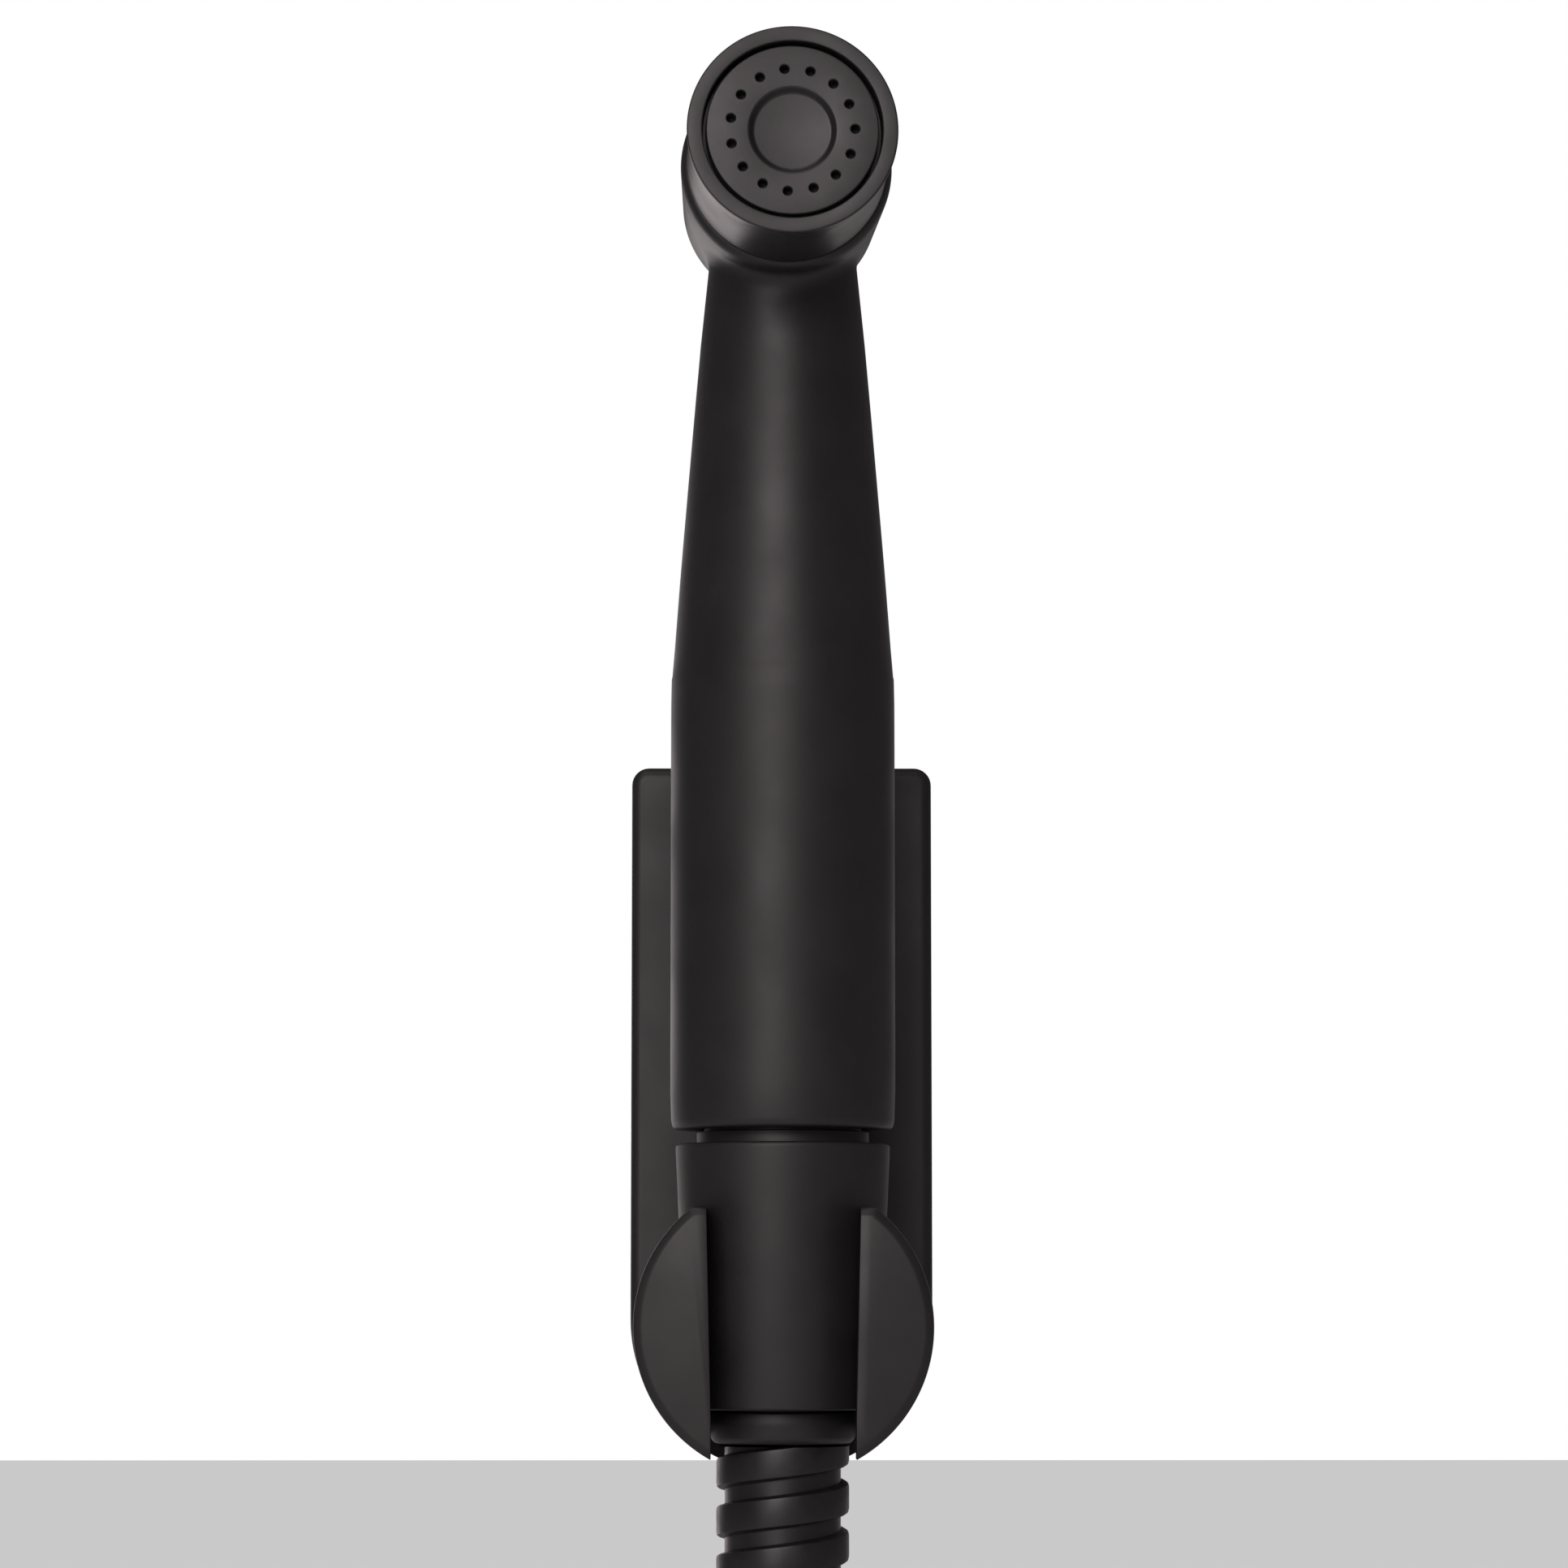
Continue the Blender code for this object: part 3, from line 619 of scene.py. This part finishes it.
def barrel_underside(x, depth):
    """How high the barrel's lower surface is, at this place across and forward of the handset's axis."""
    rise = depth * math.tan(math.asin(FORWARD.z))
    return HEAD.translation.z + rise - math.sqrt(max(barrel_radius(depth) ** 2 - x * x, 0.0))


def neck_blend(c, s, start_r, start_z):
    """The rings' points in one direction from the top of the grip, up the neck and out onto the barrel."""
    wide = (0.9 + 0.7 * s * s) * MM

    def under(r):
        return barrel_underside(r * c, -r * s)

    r0 = start_r - NECK_SLOPE * (under(start_r) - start_z)
    r2 = r0 + wide
    z2 = under(r2)
    z1 = z2 - (under(r2 + 0.05 * MM) - under(r2 - 0.05 * MM)) / (0.1 * MM) * wide
    z0 = z1 - 1.3 * wide
    points = [(start_r + (r0 - start_r) * k / 4, start_z + (z0 - start_z) * k / 4) for k in range(1, 5)]
    for k in range(1, 9):
        t = k / 8
        z = z0 * (1 - t) ** 2 + 2 * z1 * t * (1 - t) + (z2 + 0.03 * MM) * t * t
        points.append((r0 + wide * t * t, z))
    return points


def handle():
    """The handle and head in one casting: a tapered grip that swells into the barrel across its top."""
    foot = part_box("handle_body")[0].z
    thread_front = extent("handle_body", HEAD)[1]
    grip = [Vector((r, z)) * MM for z, r in HANDLE_OUTLINE]
    before, after = grip[0] - Vector((0, 5 * MM)), grip[-1] + Vector((-NECK_SLOPE, 1)) * 5 * MM
    grip = through(grip, (before, after), 2 * MM)
    inner, step = 9.2 * MM, 0.4 * MM
    rim = ((inner, foot + step), (inner + 0.1 * MM, foot), (11.8 * MM, foot), (12.1 * MM, foot + 0.13 * MM))
    rim += ((12.27 * MM, foot + step), (12.4 * MM, foot + 2.5 * step))
    steps = 128
    turns = [2 * math.pi * k / steps for k in range(steps)]
    directions = [(math.cos(a), math.sin(a)) for a in turns]
    bm = bmesh.new()

    def level(points):
        return [bm.verts.new(HANDSET @ Vector(p)) for p in points]

    rings = [level([(0, 0, foot + step)])]
    for r, z in [*rim, *[(p.x, p.y) for p in grip]]:
        rings.append(level([(r * c, r * s, z) for c, s in directions]))
    blends = [neck_blend(c, s, grip[-1].x, grip[-1].y) for c, s in directions]
    for points in zip(*blends):
        rings.append(level([(r * c, r * s, z) for (r, z), (c, s) in zip(points, directions)]))
    inside_r, inside_z = 5 * MM, HEAD.translation.z - 4 * MM
    rings.append(level([(inside_r * c, inside_r * s, inside_z) for c, s in directions]))
    rings.append(level([(0, 0, inside_z)]))
    bridge(bm, rings, steps)
    body = made_object("handle_casting", bm, BLACK, 50)
    depths = [BARREL_FRONT - SHOULDER * (1 - math.sin(math.radians(a))) for a in range(90, -1, -10)]
    depths += [BARREL_BACK + HEEL * (1 - math.sin(math.radians(a))) for a in range(0, 91, 10)]
    barrel = [(0, thread_front), (8.4 * MM, thread_front), (8.4 * MM, BARREL_FRONT)]
    barrel += [(barrel_radius(depth), depth) for depth in depths]
    recess, deep = 5.9 * MM, 1.6 * MM
    barrel += [(recess, BARREL_BACK), (recess, BARREL_BACK + deep), (0, BARREL_BACK + deep)]
    tube = lathe("barrel", barrel, HEAD, None, 0.12 * MM, 160)
    combined(body, [tube], "UNION")
    back = BARREL_BACK
    pivot = HEAD.inverted() @ Vector(JOINTS["trigger_press"]["pos_m"])
    half, lug = 3.2 * MM, 2.3 * MM
    outline = [(pivot.y - lug, back + 2 * MM), (pivot.y - lug, pivot.z)]
    turns = [math.radians(15 * i) for i in range(1, 12)]
    outline += [(pivot.y - lug * math.cos(a), pivot.z - lug * math.sin(a)) for a in turns]
    outline += [(pivot.y + lug, pivot.z), (pivot.y + 1.6 * MM, back + 2 * MM)]
    lug_body = loft("lug", [[HEAD @ Vector((x, y, z)) for y, z in outline] for x in (-half, half)], None)
    bevelled(lug_body, 0.3 * MM)
    combined(body, [lug_body], "UNION")
    return placed_piece(body, "handset", "satin_black", "handle_body")


def inlet_neck():
    """The threaded inlet: a neck under the handle, then the thread inside the cone nut."""
    low, high, _ = extent("inlet_nipple", HANDSET)
    neck, thread, bore = 9.55 * MM, 10.2 * MM, 5.6 * MM
    collar, thread_top = -2.4 * MM, -5.0 * MM
    outline = [(8.7 * MM, high), (8.7 * MM, collar), (neck, collar), (neck, thread_top)]
    pitch, deep = 1.8 * MM, 0.55 * MM
    z = thread_top - 0.4 * MM
    while z - pitch > low + 0.4 * MM:
        outline += [(thread, z), (thread, z - 0.35 * pitch)]
        outline += [(thread - deep, z - 0.5 * pitch), (thread - deep, z - 0.85 * pitch)]
        z -= pitch
    outline += [(thread - deep, low), (bore, low), (bore, high)]
    piece = lathe("inlet_neck", outline, HANDSET, BLACK, 0.1 * MM, 96, True)
    return placed_piece(piece, "handset", "satin_black", "inlet_nipple")


def cone_nut():
    """The cone nut, sitting in the holder, its edges softened."""
    low, high, radius = extent("cone_nut", HANDSET)
    bore, socket, shoulder = 8.2 * MM, 10.5 * MM, -19.2 * MM
    outline = (
        (11.5 * MM, high),
        (radius, high - 0.2 * MM),
        (NUT_FOOT_R, low),
        (bore, low),
        (bore, shoulder),
        (socket, shoulder),
        (socket, high),
    )
    piece = lathe("hose_cone_nut", outline, HANDSET, BLACK, 0.35 * MM, 160, True)
    return placed_piece(piece, "handset", "satin_black", "cone_nut")


def hose_collar():
    """The hose's collar, just under the cone nut."""
    low, high, _ = extent("hose_collar", HANDSET)
    top, wide, slim, bore = -33.15 * MM, 8.3 * MM, 7.8 * MM, 5.4 * MM
    outline = (
        (slim, high),
        (slim, top),
        (wide, top),
        (wide, top - 1.3 * MM),
        (7.95 * MM, low + 0.5 * MM),
        (7.5 * MM, low),
        (bore, low),
        (bore, high),
    )
    piece = lathe("hose_end_collar", outline, HANDSET, BLACK, 0.25 * MM, 96, True)
    return placed_piece(piece, "hose_end", "satin_black", "hose_collar")


def nozzle():
    """The nozzle's screwed collar, with its rolled lip, and the spray face with its jets."""
    back, front, radius = extent("nozzle_collar", HEAD)
    lip, thread, chamber, foot = 9.78 * MM, 8.75 * MM, 9.25 * MM, 11.05 * MM
    chamber_back, chamber_front = 18.8 * MM, 24.6 * MM
    collar = (
        (radius - 0.06 * MM, front),
        (radius, front - 0.3 * MM),
        (radius - 0.05 * MM, front - 1.5 * MM),
        (radius - 0.35 * MM, front - 3.4 * MM),
        (foot, back + 0.3 * MM),
        (foot - 0.3 * MM, back),
        (thread, back),
        (thread, chamber_back),
        (chamber, chamber_back),
        (chamber, chamber_front),
        (lip, chamber_front),
        (lip, front),
    )
    piece = lathe("nozzle_ring", collar, HEAD, FACE_BLACK, 0.16 * MM, 160, True)
    placed_piece(piece, "handset", "satin_black", "nozzle_collar")
    _, face, face_r = extent("spray_disc", HEAD)
    deep, rim, floor = 0.7 * MM, 4.74 * MM, 4.25 * MM
    thick, skirt, skirt_back = 1.6 * MM, 8.85 * MM, 20.7 * MM
    disc = (
        (0, face - deep),
        (floor, face - deep),
        (rim, face),
        (face_r, face),
        (face_r, face - thick),
        (skirt, face - thick),
        (skirt, skirt_back),
        (0, skirt_back),
    )
    half_step = Matrix.Rotation(math.pi / 160, 4, "Z")
    plate = lathe("spray_face", disc, HEAD @ half_step, FACE_BLACK, 0.18 * MM, 160)
    jets, circle, jet_r, turn = 15, 6.78 * MM, 0.49 * MM, math.radians(1.4)
    jet = (
        (0, face + MM),
        (jet_r + 1.1 * MM, face + MM),
        (jet_r, face - 0.1 * MM),
        (jet_r, face - 2 * MM),
        (0, face - 2 * MM),
    )
    bm = bmesh.new()
    for i in range(jets):
        a = turn + 2 * math.pi * i / jets
        at_jet = Matrix.Translation((circle * math.cos(a), circle * math.sin(a), 0))
        turned(bm, jet, HEAD @ at_jet @ Matrix.Rotation(0.37 * i + 0.1, 4, "Z"), 24)
    combined(plate, [made_object("jets", bm, None)])
    return placed_piece(plate, "handset", "satin_black", "spray_disc")


# Lever: its inner side as (back from the handset's axis, up from the nozzle's axis), in millimetres
LEVER_INSIDE = (
    (16.2, 11.0),
    (16.2, 4.0),
    (16.2, -6.0),
    (17.0, -16.0),
    (19.4, -29.0),
    (22.6, -41.0),
    (23.2, -44.0),
)
LEVER_THICK, LEVER_HALF = 2.2 * MM, 7.0 * MM


def trigger():
    """The thumb lever: a bent bar with rounded edges and ribs where the thumb rests, on two ears."""
    inside = [Vector((b, u)) * MM for b, u in LEVER_INSIDE]
    line = through(inside, (2 * inside[0] - inside[1], 2 * inside[-1] - inside[-2]), 0.5 * MM)
    ribs_from, ribs_to, rib = -41 * MM, -26 * MM, 2.5 * MM
    rings = []
    for i, point in enumerate(line):
        after, before = line[min(i + 1, len(line) - 1)], line[max(i - 1, 0)]
        along = (after - before).normalized()
        out = Vector((-along.y, along.x)) if along.y < 0 else Vector((along.y, -along.x))
        if out.x < 0:
            out = -out
        end = min(i, len(line) - 1 - i) / 4
        close = math.sqrt(max(0.0, 1 - (1 - min(end, 1.0)) ** 2)) * 0.55 + 0.45
        swell = 0.0
        if ribs_from < point.y < ribs_to:
            swell = 0.35 * MM * (0.5 - 0.5 * math.cos(2 * math.pi * (point.y - ribs_from) / rib))
        half, thick = LEVER_HALF - (1 - close) * 2.0 * MM, LEVER_THICK
        centre = point + out * (thick / 2)
        ring = []
        for k in range(40):
            a = 2 * math.pi * k / 40
            c, s = math.cos(a), math.sin(a)
            x = half * math.copysign(abs(c) ** 0.28, c)
            lift = math.copysign(abs(s) ** 0.6, s) * thick / 2 * close
            crown = swell * max(0.0, s) * (1 - (x / half) ** 6)
            spot = centre + out * (lift + crown)
            ring.append(HEAD @ Vector((x, spot.y, -spot.x)))
        rings.append(ring)
    lever = loft("thumb_lever", rings, BLACK, sharp=50)
    pivot = HEAD.inverted() @ Vector(JOINTS["trigger_press"]["pos_m"])
    ear_r, ear_in, ear_out, bore = 2.4 * MM, 3.5 * MM, 5.9 * MM, 1.5 * MM
    bar = -(inside[0].x + 0.8 * MM)
    for side in (1, -1):
        outline = [(pivot.y - ear_r, bar), (pivot.y - ear_r, pivot.z)]
        turns = (math.radians(12 * i) for i in range(1, 15))
        outline += [(pivot.y - ear_r * math.cos(a), pivot.z + ear_r * math.sin(a)) for a in turns]
        outline += [(pivot.y + ear_r, pivot.z), (pivot.y + 1.7 * MM, bar)]
        ends = sorted((side * ear_in, side * ear_out))
        ear = loft(f"ear_{side}", [[HEAD @ Vector((x, y, z)) for y, z in outline] for x in ends], None)
        bevelled(ear, 0.3 * MM)
        combined(lever, [ear], "UNION")
    hole = ((0, 8 * MM), (bore, 8 * MM), (bore, -8 * MM), (0, -8 * MM))
    place = HEAD @ Matrix.Translation(pivot) @ Matrix.Rotation(math.pi / 2, 4, "Y")
    combined(lever, [lathe("ear_hole", hole, place, None, 0.0, 48)])
    placed_piece(lever, "trigger", "satin_black", "trigger_lever")
    pin_r, pin_half = 1.2 * MM, 6.3 * MM
    pin = ((0, pin_half), (pin_r, pin_half), (pin_r, -pin_half), (0, -pin_half))
    piece = lathe("lever_pin", pin, place, STEEL, 0.25 * MM, 48)
    return placed_piece(piece, "handset", "stainless", "pivot_pin")


def spring():
    """The valve's spring, hidden in the head: wound from round wire, its end turns closed up."""
    low, high, _ = extent("valve_spring", HEAD)
    coil_r, wire, turns, steps, sides = 3.0 * MM, 0.35 * MM, 5.5, 28, 12
    rings = []
    count = round(turns * steps)
    for i in range(count + 1):
        share = i / count
        a = 2 * math.pi * turns * share
        z = low + wire + (high - low - 2 * wire) * (share - 0.06 * math.sin(2 * math.pi * share))
        out = Vector((math.cos(a), math.sin(a), 0))
        section = (2 * math.pi * k / sides for k in range(sides))
        offsets = [(wire * math.cos(b), wire * math.sin(b)) for b in section]
        rings.append([HEAD @ (out * (coil_r + dr) + Vector((0, 0, z + dz))) for dr, dz in offsets])
    piece = loft("poppet_spring", rings, STEEL)
    placed_piece(piece, "handset", "stainless", "valve_spring")
    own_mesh(piece)


# ---------------------------------------------------------------- supply end and tie
def supply_end():
    """The ferrule on the hose's far end, and the hexagon nut that turns on it."""
    place = Matrix.Translation((middle("wall_nut").x, middle("wall_nut").y, 0))
    low, high, _ = extent("far_ferrule", place)
    outline = [(7.8 * MM, high)]
    for k in range(3):
        z = high - (1.4 + 2.6 * k) * MM
        for radius, fall in ((8.3, -0.5), (8.3, 0.5), (7.95, 0.9), (7.95, 1.3)):
            outline.append((radius * MM, z - fall * MM))
    outline += [
        (8.3 * MM, high - 9.2 * MM),
        (5.2 * MM, high - 9.5 * MM),
        (5.2 * MM, high - 20.5 * MM),
        (9.2 * MM, high - 20.5 * MM),
        (9.2 * MM, low),
        (3.4 * MM, low),
        (3.4 * MM, high),
    ]
    ferrule = lathe("supply_ferrule", outline, place, BLACK, 0.18 * MM, 96, True)
    placed_piece(ferrule, "hose_end", "satin_black", "far_ferrule")
    nut_low, nut_high, corner = extent("wall_nut", place)
    flats = corner * math.sqrt(3) / 2
    rings = []
    for z in (nut_low, nut_high):
        turns = (math.radians(60 * i + 30) for i in range(6))
        rings.append([place @ Vector((corner * math.cos(a), corner * math.sin(a), z)) for a in turns])
    nut = loft("supply_nut_body", rings, BLACK)
    bevelled(nut, 0.35 * MM)
    turned_down, slope = flats * 0.985, 1.35 * MM
    outline = (
        (0, nut_high),
        (turned_down, nut_high),
        (corner + 0.4 * MM, nut_high - slope),
        (corner + 0.4 * MM, nut_low + slope),
        (turned_down, nut_low),
        (0, nut_low),
    )
    combined(nut, [lathe("nut_cone", outline, place, None, 0.0, 96)], "INTERSECT")
    neck, socket, seat = 5.6 * MM, 10.4 * MM, nut_high - 9.9 * MM
    crest, mouth = socket - 0.5 * MM, socket + 0.5 * MM
    inner = [(0, nut_high + MM), (neck, nut_high + MM), (neck, seat), (crest, seat)]
    pitch, z = 1.8 * MM, seat - 0.8 * MM
    while z - pitch > nut_low:
        inner += [(crest, z), (socket, z - 0.4 * pitch), (socket, z - 0.6 * pitch), (crest, z - pitch)]
        z -= pitch
    inner += [(socket, nut_low + 0.5 * MM), (mouth, nut_low - 0.2 * MM)]
    inner += [(mouth, nut_low - MM), (0, nut_low - MM)]
    combined(nut, [lathe("nut_bore", inner, place, None, 0.0, 96)])
    placed_piece(nut, "supply_nut", "satin_black", "wall_nut")
    return ferrule, nut


def tie():
    """The hook-and-loop strap round the coil's two turns, its end lapped over itself."""
    angle = math.radians(135)
    turns = [(COIL_START - angle) % (2 * math.pi) / (2 * math.pi) + k for k in (0, 1)]
    centres = [coil_point(t) for t in turns]
    out = Vector((math.cos(angle), 0, math.sin(angle)))
    along = Vector((-math.sin(angle), 0, math.cos(angle)))
    slack, thick, half = 0.35 * MM, 1.3 * MM, 6.0 * MM
    reach = HOSE_R + slack + thick / 2
    loop = []
    for i in range(33):
        a = math.pi * i / 32
        loop.append(centres[0] + out * (reach * math.cos(a)) + Vector((0, reach * math.sin(a), 0)))
    for i in range(33):
        a = math.pi + math.pi * i / 32
        loop.append(centres[1] + out * (reach * math.cos(a)) + Vector((0, reach * math.sin(a), 0)))
    loop.append(loop[0])
    loop, _ = evenly(loop, 0.8 * MM)
    loop = loop[:-1]
    lap = 16
    path = [*loop, *loop[:lap]]
    rings = []
    for i, point in enumerate(path):
        heading = (loop[(i + 1) % len(loop)] - loop[(i - 1) % len(loop)]).normalized()
        outward = heading.cross(along).normalized()
        if outward.dot(point - (centres[0] + centres[1]) / 2) < 0:
            outward = -outward
        lift = thick * min(1.0, max(0.0, (i - len(loop) + 5) / 5))
        ring = []
        for k in range(24):
            a = 2 * math.pi * k / 24
            c, s = math.cos(a), math.sin(a)
            wide = half * math.copysign(abs(c) ** 0.25, c)
            deep = thick * 0.46 * math.copysign(abs(s) ** 0.6, s)
            ring.append(point + along * wide + outward * (deep + lift))
        rings.append(ring)
    piece = loft("coil_strap", rings, STRAP, sharp=50)
    return placed_piece(piece, "hose_end", "strap", "coil_tie")


# ---------------------------------------------------------------- what stays from the CAD
KEPT = {
    "arm_screw": STEEL,
    "locating_pin": STEEL,
    "filter_screen": STEEL,
    "hose_ferrule": STEEL,
    "valve_stem": STEEL,
    "diffuser_disc": STEEL,
    "valve_seat": BRASS,
    "rear_gland": BRASS,
    "hose_washer": RUBBER,
    "far_washer": RUBBER,
    "poppet_seal": RUBBER,
    "stem_oring": RUBBER,
    "gland_oring": RUBBER,
    "nozzle_oring": RUBBER,
}


def kept_nodes():
    for node, surface in KEPT.items():
        mesh = frame["nodes"][node].data
        mesh.materials.clear()
        mesh.materials.append(surface)
        mesh.shade_smooth()
        mesh.set_sharp_from_angle(angle=math.radians(35))


# ---------------------------------------------------------------- floor and light
def studio():
    """A pale floor well below the coil, which looks brighter than the light it throws on the object."""
    low = CAD_BOX[0].z
    bm = bmesh.new()
    half, drop = 12.0, 0.16
    bmesh.ops.create_grid(bm, x_segments=1, y_segments=1, size=half)
    bmesh.ops.translate(bm, verts=bm.verts, vec=(0, 0, low - drop))
    pale = Surface("pale_floor", (0.78, 0.78, 0.78), 0.9, **{"Emission Color": (1, 1, 1, 1)})
    seen = pale.node("ShaderNodeLightPath").outputs["Is Camera Ray"]
    thrown_glow, seen_glow = 0.12, 0.5
    glow = pale.mapped(seen, thrown_glow, seen_glow, 0.0, 1.0)
    pale.link(glow, pale.shader.inputs["Emission Strength"])
    made_object("floor", bm, pale.made)


def around(azimuth, elevation):
    """A direction from the object, in degrees: azimuth 0 is towards the viewer, negative to the left."""
    a, e = math.radians(azimuth), math.radians(elevation)
    return Vector((math.sin(a) * math.cos(e), -math.cos(a) * math.cos(e), math.sin(e)))


def soft_box(name, place, target, width, height, power):
    lamp = bpy.data.lights.new(name, "AREA")
    lamp.shape, lamp.size, lamp.size_y, lamp.energy = "RECTANGLE", width, height, power
    lamp.color = WARM
    made = bpy.data.objects.new(name, lamp)
    bpy.context.scene.collection.objects.link(made)
    made.location = place
    made.rotation_euler = (target - place).to_track_quat("-Z", "Y").to_euler()
    made.visible_camera = False


WARM, FILL_STRENGTH = (1.0, 0.91, 0.925), 0.115


def lights():
    """Two soft boxes in front, a little to the left, one overhead, and two behind that light the edges."""
    world = bpy.data.worlds.new("studio")
    bpy.context.scene.world = world
    world.use_nodes = True
    tree = world.node_tree
    shown = tree.nodes["Background"]
    shown.inputs["Color"].default_value = (1, 1, 1, 1)
    shown.inputs["Strength"].default_value = 1.0
    fill = tree.nodes.new("ShaderNodeBackground")
    fill.inputs["Color"].default_value = (*WARM, 1)
    fill.inputs["Strength"].default_value = FILL_STRENGTH
    path = tree.nodes.new("ShaderNodeLightPath")
    mix = tree.nodes.new("ShaderNodeMixShader")
    tree.links.new(path.outputs["Is Camera Ray"], mix.inputs["Fac"])
    tree.links.new(fill.outputs["Background"], mix.inputs[1])
    tree.links.new(shown.outputs["Background"], mix.inputs[2])
    tree.links.new(mix.outputs["Shader"], tree.nodes["World Output"].inputs["Surface"])
    target = Vector((0, AXIS.y, 0.04))
    soft_box("key", target + around(-17, 4) * 1.3, target, 0.52, 0.55, 2.4)
    soft_box("key_top", target + around(-11, 20) * 1.3, target, 0.82, 0.26, 5.0)
    soft_box("overhead", target + around(-20, 68) * 1.1, target, 0.9, 0.7, 2.2)
    soft_box("left_behind", target + around(-158, -3) * 0.8, target, 0.45, 0.42, 0.85)
    soft_box("right_behind", target + around(160, -3) * 0.8, target, 0.3, 0.42, 0.12)
    bpy.context.scene.view_settings.view_transform = "Standard"


# ---------------------------------------------------------------- build
camera()
shower_hose, centreline, hose_length = hose()
far_ferrule, supply_nut = supply_end()
strap = tie()
wall_plate()
holder()
handle()
inlet_neck()
cone_nut()
hose_collar()
nozzle()
trigger()
spring()
kept_nodes()
studio()
lights()


def corners(box):
    return [list(corner) for corner in box]
